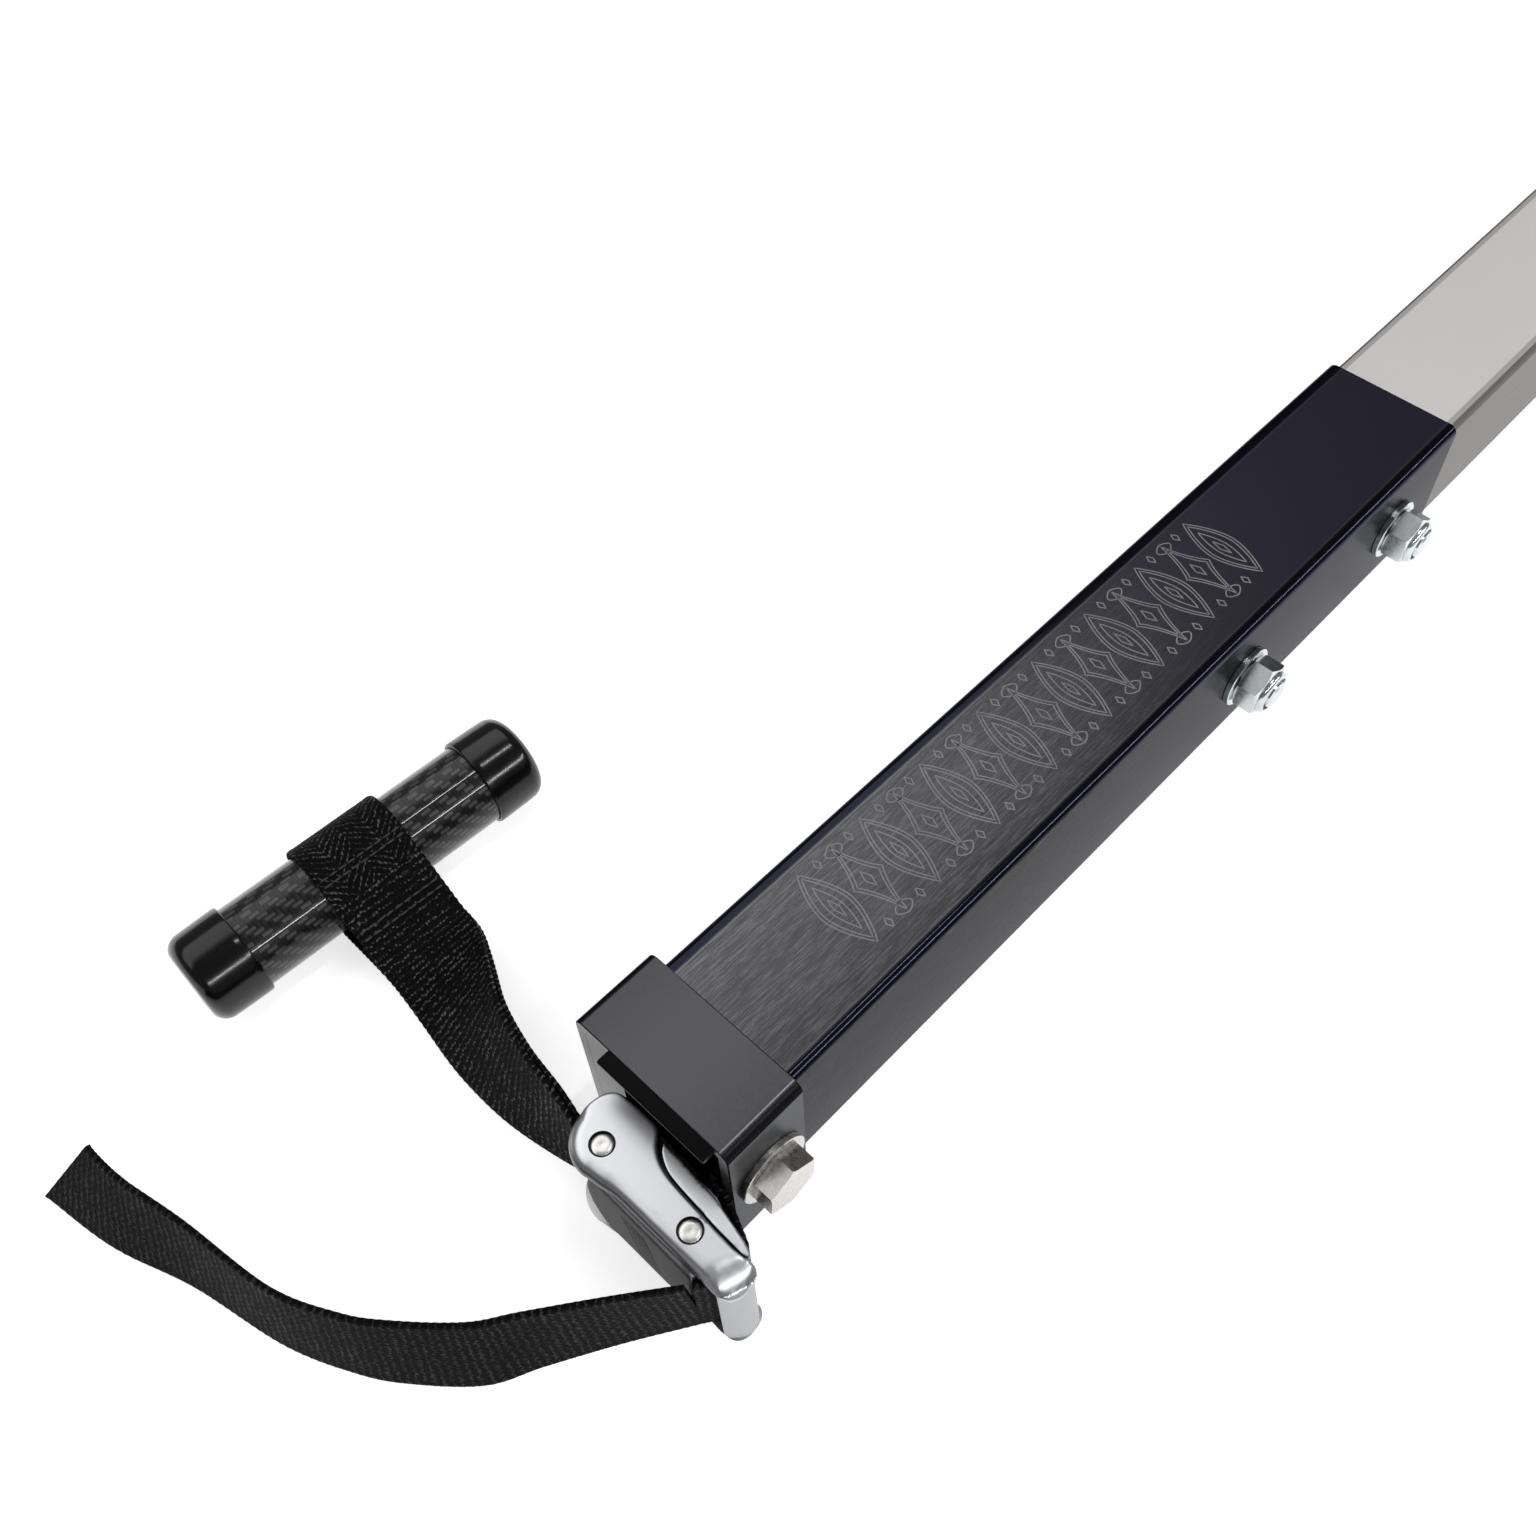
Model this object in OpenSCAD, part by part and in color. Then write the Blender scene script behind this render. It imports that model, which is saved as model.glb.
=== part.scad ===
// Telescoping square bar with a webbing handle on a cam buckle at its open end.
// The bar lies along X with its mouth towards -X. The origin is on the underside of
// the end collar, straight below the anchor bolt. Z is up, and z = 0 is the surface
// that the part lies on.

/* [Bar] */
// Outside width and height of the square sleeve
sleeve_w = 40; // [38:0.5:42]
// Wall thickness of the sleeve
sleeve_wall = 1.5; // [1.2:0.1:1.8]
// Outside corner radius of the sleeve
sleeve_r = 2.5; // [2:0.1:3]
// Length of the sleeve
sleeve_len = 280; // [270:5:300]
// Length of the bar over all, from the mouth of the collar to the far boot
bar_len = 600; // [480:10:900]
// Wall thickness of the inner tube
inner_wall = 1.5; // [1.2:0.1:2]
// Gap all round between the inner tube and the sleeve
slide_gap = 0.1; // [0.1:0.05:0.3]

/* [Collar] */
// Length of the end collar along the bar
collar_len = 22; // [20:1:26]
// Wall thickness of the end collar
collar_wall = 3; // [2.5:0.25:3.5]
// Outside corner radius of the end collar
collar_r = 3; // [2.5:0.25:4]

/* [Fasteners] */
// Shank diameter of every bolt
bolt_d = 8; // [8:8]
// Width across the flats of the bolt heads and nuts
hex_af = 13; // [13:13]
// Distance along the bar between the two clamp bolts
clamp_pitch = 70; // [60:1:75]
// Distance from the anchor bolt to the first clamp bolt
clamp_x = 178; // [170:1:185]
// Diameter of the clamp bolts' washers
clamp_washer_d = 17; // [16:0.5:18]
// Diameter of the anchor bolt's washer
anchor_washer_d = 18.4; // [17:0.2:20]

/* [Webbing] */
// Width of the webbing
strap_w = 25; // [24:0.5:25.5]
// Thickness of one layer of webbing
strap_t = 1.5; // [1.3:0.1:1.6]

/* [Buckle] */
// Width of the buckle over its two side plates
buckle_h = 34; // [33:0.5:36]
// Thickness of a side plate
plate_t = 3.5; // [3:0.1:3.8]
// Radius of the fixed bar and of the cam's pin
pin_r = 2.45; // [2.4:0.01:2.48]
// Radius of the hole that a pin sits in
pin_hole_r = 2.5; // [2.5:0.01:2.52]

/* [Handle] */
// Outside diameter of the handle's tube
grip_d = 22.4; // [21:0.2:22.6]
// Wall thickness of the handle's tube
grip_wall = 1.6; // [1.2:0.1:2.5]
// Outside diameter of the end caps
cap_d = 24.6; // [24.2:0.1:25]
// Length of the handle over its caps
grip_len = 99; // [95:1:110]
// Length of a cap
cap_len = 15; // [12:1:18]

/* [Hidden] */
$fn = 64;
eps = 0.01;

collar_w = sleeve_w + 2 * collar_wall;
axis_z = collar_w / 2;
mouth_x = -collar_len / 2;
sleeve_x0 = mouth_x + 3;
sleeve_x1 = sleeve_x0 + sleeve_len;
bar_end_x = mouth_x + bar_len;
inner_w = sleeve_w - 2 * sleeve_wall - 2 * slide_gap;
inner_x0 = clamp_x - 18;
boot_len = 32;
boot_floor = 4;
clamp_xs = [clamp_x, clamp_x + clamp_pitch];

washer_t = 1.6;
head_t = 5.3;
nut_t = 8;
bolt_hole_d = bolt_d + 0.4;
// Threaded insert that the anchor bolt screws into, and where it ends
insert_d = 12;
insert_y = 3.6;

// The webbing's lower edge inside the buckle
strap_z = (buckle_h - strap_w) / 2 + 0.1;
strap_mid_z = strap_z + strap_w / 2;
// The webbing lies against the right wall inside the sleeve, then turns round the
// collar's front edge and runs outwards past the fold line
root_y = -sleeve_w / 2 + sleeve_wall + 0.3 + strap_t / 2;
front_x = mouth_x - 1.6;
fold_y = -22;
fold_gap = 0.3;

// Centres of the fixed bar and the cam's pin, seen from above
bar_xy = [-23.5, 2.5];
cam_xy = [-23.5, -24];
cam_r = 8.9;
barrel_r = 5.8;
// Outer face and free end of the lever's pad
pad_x = -29.7;
pad_end_y = 3.5;

// The throat that the webbing runs through, between the cam and the nose
throat_y = -34.4;
exit_heading = 144;

// The handle's centre and its turn about Z
grip_c = [-11.5, 109, 13.2];
grip_turn = -3;
loop_gap = 0.3;
loop_r = grip_d / 2 + loop_gap;
// Where the handle loop's two layers meet, from the handle's axis
join_yz = [-26, -4.6];

// Middle of the doubled webbing from the handle's loop to the fixed bar, with the roll
// of its width from level in degrees
sling_route = [
    [-13.9, 83, 8.6, 0],
    [-14.5, 76, 8.8, 16],
    [-17, 66, 9.8, 35],
    [-21.5, 50, 12.6, 54],
    [-23.5, 35, 14.6, 66],
    [-23.5, 20, 16.4, 78],
    [-23.5, 9.5, 17.1, 90]
];

// Middle of the free tail from the buckle to its cut end, with the same roll
tail_route = [
    [-30.4, -30.8, 17.1, 90],
    [-44, -20.5, 15, 94],
    [-58.5, -10.5, 13.6, 99],
    [-68.5, -4, 13, 103],
    [-79, 7.5, 13, 103],
    [-85.5, 17, 13, 102],
    [-92.5, 32.5, 13, 102],
    [-98, 57.5, 12.8, 107],
    [-104, 78, 12.2, 115],
    [-106.5, 94, 11.6, 121]
];

// ---- Points and sections ----

function arc(c, r, a0, a1, n = 10) =
    [for (i = [0:n]) let (a = a0 + (a1 - a0) * i / n) c + r * [cos(a), sin(a)]];

function unit(v) = v / norm(v);

// Catmull-Rom value between b and c
function spline(a, b, c, d, u) =
    0.5 * (2 * b + (c - a) * u + (2 * a - 5 * b + 4 * c - d) * u * u
        + (3 * b - 3 * c + d - a) * u * u * u);

function route_at(route, s) =
    let (last = len(route) - 1, i = min(floor(s), last - 1))
    spline(route[max(i - 1, 0)], route[i], route[i + 1], route[min(i + 2, last)], s - i);

function fine_route(route, per_step) =
    [for (k = [0:(len(route) - 1) * per_step]) route_at(route, k / per_step)];

function place(p) = [p[0], p[1], p[2]];

function heading(pts, i) =
    unit(place(pts[min(i + 1, len(pts) - 1)]) - place(pts[max(i - 1, 0)]));

// One ring of a flat strap: eight corners round a thin rectangle with eased edges
function strap_ring(p, t, w, thick) =
    let (
        level = unit(cross([0, 0, 1], t)),
        up = cross(t, level),
        wide = cos(p[3]) * level + sin(p[3]) * up,
        through = cross(t, wide),
        a = w / 2,
        b = thick / 2,
        ease = thick / 4,
        section = [[-a, -b + ease], [-a + ease, -b], [a - ease, -b], [a, -b + ease],
                   [a, b - ease], [a - ease, b], [-a + ease, b], [-a, b - ease]]
    )
    [for (q = section) place(p) + q[0] * wide + q[1] * through];

module flat_strap(route, w, thick, per_step) {
    pts = fine_route(route, per_step);
    n = len(pts);
    rings = [for (i = [0:n - 1]) each strap_ring(pts[i], heading(pts, i), w, thick)];
    sides = [for (i = [0:n - 2]) for (k = [0:7])
        let (m = (k + 1) % 8)
        each [[i * 8 + k, (i + 1) * 8 + k, i * 8 + m],
              [i * 8 + m, (i + 1) * 8 + k, (i + 1) * 8 + m]]];
    first_cap = [[for (k = [0:7]) k]];
    last_cap = [[for (k = [7:-1:0]) (n - 1) * 8 + k]];
    polyhedron(points = rings, faces = concat(sides, first_cap, last_cap), convexity = 6);
}

// Both sides of a strap that stands on edge, as one outline seen from above
function side_point(path, i, off) =
    let (t = unit(path[min(i + 1, len(path) - 1)] - path[max(i - 1, 0)]))
    path[i] + off * [-t[1], t[0]];

function edge_outline(path, thick) = concat(
    [for (i = [0:len(path) - 1]) side_point(path, i, thick / 2)],
    [for (i = [len(path) - 1:-1:0]) side_point(path, i, -thick / 2)]
);

module rounded_square(w, r) {
    square([w, w - 2 * r], center = true);
    square([w - 2 * r, w], center = true);
    for (sx = [-1, 1]) for (sy = [-1, 1])
        translate([sx * (w / 2 - r), sy * (w / 2 - r)])
            circle(r);
}

// A length of square tube along X, round the bar's axis
module bar_tube(x0, x1, w, wall, r) {
    translate([x0, 0, axis_z])
        rotate([90, 0, 90])
            linear_extrude(x1 - x0)
                difference() {
                    rounded_square(w, r);
                    rounded_square(w - 2 * wall, max(r - wall, 0.6));
                }
}

// A round hole across the bar at its mid height
module cross_hole(x, d) {
    translate([x, 0, axis_z])
        rotate([90, 0, 0])
            cylinder(h = 2 * collar_w, d = d, center = true);
}

// A round hole through the bar's right wall, as far as y_end
module right_hole(x, d, y_end = 0) {
    translate([x, y_end, axis_z])
        rotate([90, 0, 0])
            cylinder(h = collar_w, d = d);
}

// Places a fastener that points along +Z onto the bar's side: side -1 is the right
module on_side(x, y, side) {
    translate([x, side * y, axis_z])
        rotate([-side * 90, 0, 0])
            children();
}

module hex_prism(t, chamfer_base) {
    corner_r = hex_af / 2 / cos(30);
    intersection() {
        cylinder(h = t, r = corner_r, $fn = 6);
        union() {
            translate([0, 0, chamfer_base ? 0.5 : 0])
                cylinder(h = t - 0.9 - (chamfer_base ? 0.5 : 0), r = corner_r + eps);
            translate([0, 0, t - 0.9])
                cylinder(h = 0.9, r1 = corner_r, r2 = corner_r - 1.4);
            if (chamfer_base)
                cylinder(h = 0.5, r1 = corner_r - 0.8, r2 = corner_r);
        }
    }
}

// Hex bolt with its head's underside at z = 0 and its shank down -Z
module hex_bolt(len) {
    hex_prism(head_t, false);
    translate([0, 0, -len + 1])
        cylinder(h = len - 1 + eps, d = bolt_d);
    translate([0, 0, -len])
        cylinder(h = 1, d1 = bolt_d - 1.6, d2 = bolt_d);
}

module washer(d) {
    difference() {
        cylinder(h = washer_t, d = d);
        translate([0, 0, -1])
            cylinder(h = washer_t + 2, d = bolt_hole_d);
    }
}

// Lock nut: a hex body with the round collar of its insert on top
module lock_nut() {
    difference() {
        union() {
            hex_prism(6.4, true);
            translate([0, 0, 6.4 - eps])
                cylinder(h = 1, d = 11.8);
            translate([0, 0, 7.4 - 2 * eps])
                cylinder(h = nut_t - 7.4, d1 = 11.8, d2 = 10.6);
        }
        translate([0, 0, -1])
            cylinder(h = nut_t + 2, d = bolt_d + 0.1);
    }
}

// ---- Bar ----

module outer_sleeve() {
    color("#26272c")
        difference() {
            bar_tube(sleeve_x0, sleeve_x1, sleeve_w, sleeve_wall, sleeve_r);
            right_hole(0, bolt_hole_d);
            for (x = clamp_xs)
                cross_hole(x, bolt_hole_d);
        }
}

module inner_tube() {
    color("#c4c5c3")
        difference() {
            bar_tube(inner_x0, bar_end_x - boot_floor - 0.1, inner_w, inner_wall, sleeve_r - 0.9);
            for (x = clamp_xs)
                cross_hole(x, bolt_hole_d);
        }
}

// Collar on the sleeve's end, with a web that closes the left part of its mouth
module end_collar() {
    inside = sleeve_w + 0.1;
    web_t = sleeve_x0 - mouth_x - 0.1;
    web_y = 10;
    color("#1d1e21")
        difference() {
            union() {
                bar_tube(mouth_x, mouth_x + collar_len, collar_w, (collar_w - inside) / 2, collar_r);
                translate([mouth_x, web_y, collar_wall - 0.5])
                    cube([web_t, inside / 2 - web_y + 0.5, inside + 0.9]);
            }
            right_hole(0, bolt_hole_d);
        }
}

// Thin strip along the top of the mouth that covers the collar's front edge
module edge_strip() {
    strip_w = 3.4;
    strip_h = 1.5;
    front_r = 0.6;
    right_y = -19.5;
    left_y = 12.1;
    z0 = collar_w - 0.1 - strip_h;
    color("#101012")
        translate([mouth_x, left_y, z0])
            rotate([90, 0, 0])
                linear_extrude(left_y - right_y)
                    polygon(concat(
                        [[0, 0], [0, strip_h]],
                        arc([front_r - strip_w, strip_h - front_r], front_r, 90, 180, 6),
                        arc([front_r - strip_w, front_r], front_r, 180, 270, 6)
                    ));
}

// Filler block behind the mouth: the anchor bolt clamps the webbing against it
module anchor_block() {
    top = axis_z + sleeve_w / 2 - sleeve_wall - 0.1;
    bottom = axis_z - sleeve_w / 2 + sleeve_wall + 0.5;
    right_y = root_y + strap_t / 2 + 0.3;
    left_y = 14;
    block_x0 = sleeve_x0 + 0.1;
    block_x1 = 18;
    color("#141416")
        difference() {
            translate([block_x0, right_y, bottom])
                cube([block_x1 - block_x0, left_y - right_y, top - bottom]);
            right_hole(0, insert_d + 0.1, insert_y);
        }
}

module end_boot() {
    x0 = bar_end_x - boot_len;
    color("#17171a")
        difference() {
            translate([x0, 0, axis_z])
                rotate([90, 0, 90])
                    linear_extrude(boot_len)
                        rounded_square(collar_w, collar_r);
            translate([x0 - 1, 0, axis_z])
                rotate([90, 0, 90])
                    linear_extrude(boot_len - boot_floor + 1)
                        rounded_square(inner_w + 0.1, sleeve_r - 0.9);
        }
}

// ---- Fasteners ----

module anchor_bolt() {
    color("#b9b4aa")
        on_side(0, collar_w / 2 + washer_t, -1)
            hex_bolt(collar_w / 2 + washer_t + insert_y - 0.2);
}

module anchor_washer() {
    color("#b9b4aa")
        on_side(0, collar_w / 2, -1)
            washer(anchor_washer_d);
}

module anchor_insert() {
    insert_len = 20;
    color("#b9b4aa")
        translate([0, insert_y, axis_z])
            rotate([90, 0, 0])
                difference() {
                    cylinder(h = insert_len, d = insert_d);
                    translate([0, 0, -1])
                        cylinder(h = insert_len + 2, d = bolt_d + 0.1);
                }
}

// Clamp bolts from the left, with their washers and nuts on the right
module clamp_bolts() {
    color("#c7ccd0")
        for (x = clamp_xs)
            on_side(x, sleeve_w / 2, 1)
                hex_bolt(sleeve_w + washer_t + nut_t + 1);
}

module clamp_washers() {
    color("#c7ccd0")
        for (x = clamp_xs)
            on_side(x, sleeve_w / 2, -1)
                washer(clamp_washer_d);
}

module clamp_nuts() {
    color("#c7ccd0")
        for (x = clamp_xs)
            on_side(x, sleeve_w / 2 + washer_t, -1)
                lock_nut();
}

// Spacer tubes round the clamp bolts, inside the inner tube
module crush_tubes() {
    span = inner_w - 2 * inner_wall - 0.1;
    color("#a9abad")
        for (x = clamp_xs)
            translate([x, 0, axis_z])
                rotate([90, 0, 0])
                    difference() {
                        cylinder(h = span, d = 12, center = true);
                        cylinder(h = span + 2, d = bolt_hole_d, center = true);
                    }
}

// ---- Adjusting strap ----

module strap_root() {
    turn_r = root_y + 0.05 - (fold_y + 2.4);
    bend = front_x + turn_r;
    path = concat(
        [[9, root_y], [bend + 1, root_y]],
        arc([bend, root_y - turn_r], turn_r, 90, 180),
        [[front_x, fold_y + fold_gap]]
    );
    color("#161618")
        difference() {
            translate([0, 0, strap_z])
                linear_extrude(strap_w)
                    polygon(edge_outline(path, strap_t));
            cross_hole(0, bolt_hole_d);
        }
}

module strap_lead() {
    turn_in = 4;
    turn_out = 6;
    lean = 24;
    start_y = fold_y - fold_gap;
    in_y = throat_y + turn_in;
    in_x = front_x - turn_in - (start_y - in_y) * tan(lean);
    out_c = [cam_xy[0], throat_y + turn_out];
    out_end = out_c + turn_out * [cos(exit_heading + 90), sin(exit_heading + 90)];
    path = concat(
        arc([front_x - turn_in, start_y], turn_in, 0, -lean, 5),
        arc([in_x, in_y], turn_in, -lean, -90, 8),
        arc(out_c, turn_out, -90, exit_heading - 270),
        [out_end + 4 * [cos(exit_heading), sin(exit_heading)]]
    );
    color("#161618")
        translate([0, 0, strap_z])
            linear_extrude(strap_w)
                polygon(edge_outline(path, strap_t));
}

module tail_strap() {
    color("#18181b")
        flat_strap(tail_route, strap_w, strap_t, 4);
}

// ---- Cam buckle ----

// Outline of a side plate: a round head over the fixed bar, a waist on the bar's side
// and a blunt nose
function plate_outline() = concat(
    [[-12.2, 7.4], [-15.2, 9.6]],
    arc([-21.6, 1.7], 9.2, 80, 200, 16),
    [[-28.8, -6.5], [-28.3, -14], [-27.9, -34.5]],
    arc([-24, -35.6], 4.9, 200, 325, 12),
    [[-19.8, -35], [-19.2, -25], [-18.6, -15], [-17.2, -9], [-15, -5.4], [-12.5, -3.4]]
);

// Outline of the low cheek beside the waist
function cheek_outline() = [
    [-14, -6.6], [-14.1, -12], [-14.4, -20], [-15.3, -28.5], [-16.3, -32], [-18.2, -36],
    [-20.5, -36], [-20, -25], [-19.4, -15], [-18, -9.6], [-16.4, -6.9]
];

module side_plate() {
    linear_extrude(plate_t)
        polygon(plate_outline());
    translate([0, 0, 0.5])
        linear_extrude(plate_t - 0.5)
            polygon(cheek_outline());
}

module buckle_frame() {
    wall_h = buckle_h - 2 * plate_t + 2 * eps;
    color("#c9cbce")
        difference() {
            union() {
                side_plate();
                translate([0, 0, buckle_h])
                    mirror([0, 0, 1])
                        side_plate();
                // Back wall beside the collar, with a round end where the strap turns
                translate([0, 0, plate_t - eps])
                    linear_extrude(wall_h) {
                        polygon([[-14.2, -6.8], [-14.3, -22], [-16.2, -27.4],
                                 [-17.3, -27.4], [-16.8, -22], [-16.8, -8]]);
                        translate([-16.75, -27.4])
                            circle(0.55);
                    }
                // Nose wall
                translate([0, 0, plate_t - eps])
                    linear_extrude(wall_h)
                        polygon(concat(
                            arc([-24, -35.6], 4.7, 180, 325, 12),
                            [[-19.9, -35.6]]
                        ));
            }
            for (p = [bar_xy, cam_xy])
                translate([p[0], p[1], -1]) {
                    cylinder(h = buckle_h + 2, r = pin_hole_r);
                    cylinder(h = 1.7, r = pin_hole_r + 0.8);
                    translate([0, 0, buckle_h + 0.3])
                        cylinder(h = 2, r = pin_hole_r + 0.8);
                }
        }
}

module buckle_pin(xy) {
    translate([xy[0], xy[1], 0.3])
        cylinder(h = buckle_h - 0.6, r = pin_r);
}

module fixed_bar() {
    color("#d2d0cc")
        buckle_pin(bar_xy);
}

module cam_pin() {
    color("#d2d0cc")
        buckle_pin(cam_xy);
}

// Torsion spring round the cam's pin, in a pocket of the barrel
module cam_spring() {
    color("#9a9c9e")
        translate([cam_xy[0], cam_xy[1], strap_mid_z - 2.7])
            difference() {
                cylinder(h = 5.4, r = 3.7);
                translate([0, 0, -1])
                    cylinder(h = 8, r = pin_r + 0.25);
            }
}

// Outline of the cam lever: a round barrel on the pin, a toothed lobe towards the nose
// and a flat pad along the buckle's outer side, thinner where it passes the sling's eye
function lever_outline(tooth, teeth, lobe_from, lobe_to) = concat(
    [for (i = [0:2 * teeth])
        let (a = lobe_from + (lobe_to - lobe_from) * i / (2 * teeth), r = cam_r - (i % 2) * tooth)
        cam_xy + r * [cos(a), sin(a)]],
    arc(cam_xy, barrel_r, -48, 100, 20),
    [[-27.3, -16.5], [-27.3, -6.5], [-28.3, -4], [-28.3, pad_end_y - 0.4],
     [-28.7, pad_end_y], [-29.3, pad_end_y], [pad_x, pad_end_y - 0.5],
     [pad_x, -29.4], [-29, -30], [-27, -30]]
);

module cam_lever() {
    h = buckle_h - 2 * plate_t - 0.6;
    z0 = plate_t + 0.3;
    grooves = 5;
    groove_pitch = 1.5;
    corner_y = 4.6;
    corner_z = 7;
    color("#bfc1c4")
        difference() {
            translate([0, 0, z0])
                linear_extrude(h)
                    polygon(lever_outline(0.9, 5, -94, -58));
            translate([cam_xy[0], cam_xy[1], 0])
                cylinder(h = buckle_h, r = pin_hole_r);
            // Pocket for the spring
            translate([cam_xy[0], cam_xy[1], strap_mid_z - 3])
                cylinder(h = 6, r = 4);
            // Cut corners at the pad's free end
            for (side = [0, 1])
                translate([pad_x - 1, 0, side * buckle_h])
                    mirror([0, 0, side])
                        rotate([90, 0, 90])
                            linear_extrude(4)
                                polygon([[pad_end_y - corner_y, z0 - 1],
                                         [pad_end_y - corner_y, z0],
                                         [pad_end_y, z0 + corner_z],
                                         [pad_end_y + 1, z0 + corner_z],
                                         [pad_end_y + 1, z0 - 1]]);
            // Slanting finger grooves across the pad
            for (i = [0:grooves - 1])
                translate([pad_x, -10.6 - groove_pitch * i, buckle_h / 2])
                    rotate([-11, 0, 0])
                        cube([0.8, 0.7, 18], center = true);
        }
}

// ---- Handle sling ----

// Sewn eye round the fixed bar
module sling_eye() {
    color("#161618")
        translate([bar_xy[0], bar_xy[1], strap_z])
            linear_extrude(strap_w)
                difference() {
                    union() {
                        circle(pin_r + 0.3 + strap_t);
                        hull() {
                            translate([0, 1])
                                circle(pin_r + strap_t, $fn = 32);
                            translate([0, 6.9])
                                square([2 * strap_t, 0.2], center = true);
                        }
                    }
                    circle(pin_r + 0.3);
                }
}

module sling_webbing() {
    color("#161618")
        flat_strap(sling_route, strap_w, 2 * strap_t, 5);
}

// Loop round the handle's tube, with its two layers meeting below and in front
module sling_grip_loop() {
    color("#161618")
        translate(grip_c)
            rotate([0, 0, grip_turn])
                translate([-1 - strap_w / 2, 0, 0])
                    rotate([90, 0, 90])
                        linear_extrude(strap_w)
                            difference() {
                                hull() {
                                    circle(loop_r + strap_t);
                                    translate(join_yz)
                                        square([0.2, 2 * strap_t], center = true);
                                }
                                hull() {
                                    circle(loop_r);
                                    translate(join_yz + [5, 0.9])
                                        circle(0.2, $fn = 12);
                                }
                            }
}

// ---- Handle ----

module on_grip() {
    translate(grip_c)
        rotate([0, 0, grip_turn])
            rotate([0, 90, 0])
                children();
}

module grip_tube() {
    span = grip_len - 4;
    color("#1c1d20")
        on_grip()
            difference() {
                cylinder(h = span, d = grip_d, center = true);
                cylinder(h = span + 2, d = grip_d - 2 * grip_wall, center = true);
            }
}

// Push-on cap with a rounded end
module grip_cap(side) {
    half = grip_len / 2;
    end_r = 4;
    outer = cap_d / 2;
    bore = grip_d / 2 + 0.05;
    floor_z = half - 1.9;
    profile = concat(
        [[0, floor_z], [bore, floor_z], [bore, half - cap_len], [outer, half - cap_len]],
        arc([outer - end_r, half - end_r], end_r, 0, 90),
        [[0, half]]
    );
    color("#0e0e10")
        on_grip()
            mirror([0, 0, side < 0 ? 1 : 0])
                rotate_extrude()
                    polygon(profile);
}

module grip_cap_left() {
    grip_cap(-1);
}

module grip_cap_right() {
    grip_cap(1);
}

outer_sleeve();
inner_tube();
end_collar();
edge_strip();
anchor_block();
anchor_bolt();
anchor_washer();
anchor_insert();
clamp_bolts();
clamp_washers();
clamp_nuts();
crush_tubes();
end_boot();
strap_root();
strap_lead();
tail_strap();
buckle_frame();
fixed_bar();
cam_pin();
cam_spring();
cam_lever();
sling_eye();
sling_webbing();
sling_grip_loop();
grip_tube();
grip_cap_left();
grip_cap_right();
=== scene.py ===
import math

import bpy
import bmesh
import numpy as np
from mathutils import Matrix, Vector
from mathutils.geometry import delaunay_2d_cdt


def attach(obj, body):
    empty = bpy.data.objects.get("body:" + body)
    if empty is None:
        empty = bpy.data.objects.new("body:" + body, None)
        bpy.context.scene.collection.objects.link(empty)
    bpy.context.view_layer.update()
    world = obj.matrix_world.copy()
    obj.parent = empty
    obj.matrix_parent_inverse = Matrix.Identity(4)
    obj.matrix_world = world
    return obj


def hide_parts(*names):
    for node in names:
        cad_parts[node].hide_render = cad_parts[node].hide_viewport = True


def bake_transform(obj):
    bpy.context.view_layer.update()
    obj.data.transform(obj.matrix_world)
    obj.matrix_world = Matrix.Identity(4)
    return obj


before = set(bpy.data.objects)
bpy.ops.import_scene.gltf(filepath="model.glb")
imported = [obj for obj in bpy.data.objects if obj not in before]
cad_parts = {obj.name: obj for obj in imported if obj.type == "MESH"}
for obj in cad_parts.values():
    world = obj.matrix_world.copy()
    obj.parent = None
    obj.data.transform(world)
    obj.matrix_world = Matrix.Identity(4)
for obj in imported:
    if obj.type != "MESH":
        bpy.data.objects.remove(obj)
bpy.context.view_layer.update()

MM = 0.001
scene = bpy.context.scene

# In millimetres: the width of the sleeve and the collar, the height of the bar's axis, the
# middle of the webbing in the buckle, and the buckle's top
SLEEVE_W = 40
COLLAR_W = 46
AXIS_Z = 23.0
STRAP_Z = 17.1
BUCKLE_H = 34
# The buckle's fixed bar and the cam's pin, from above
PINS = ((-23.5, 2.5), (-23.5, -24.0))
UP = np.array([0, 0, 1.0])

# ---- Camera ----

CAM_AT = Vector((-0.0797, -0.1172, 0.3457))
CAM_FORWARD = Vector((0.3892, 0.4227, -0.8185)).normalized()
CAM_UP = Vector((0.6021, 0.5559, 0.5733)).normalized()

cam_data = bpy.data.cameras.new("camera")
cam_data.sensor_width = 36.0
cam_data.lens = 36.85
cam_data.clip_start = 0.01
camera = bpy.data.objects.new("camera", cam_data)
scene.collection.objects.link(camera)
side_axis = CAM_FORWARD.cross(CAM_UP).normalized()
up_axis = side_axis.cross(CAM_FORWARD)
camera.matrix_world = Matrix.Translation(CAM_AT) @ Matrix(
    (side_axis, up_axis, -CAM_FORWARD)).transposed().to_4x4()
scene.camera = camera
scene.view_settings.view_transform = "Standard"

# ---- Mesh helpers ----


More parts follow.
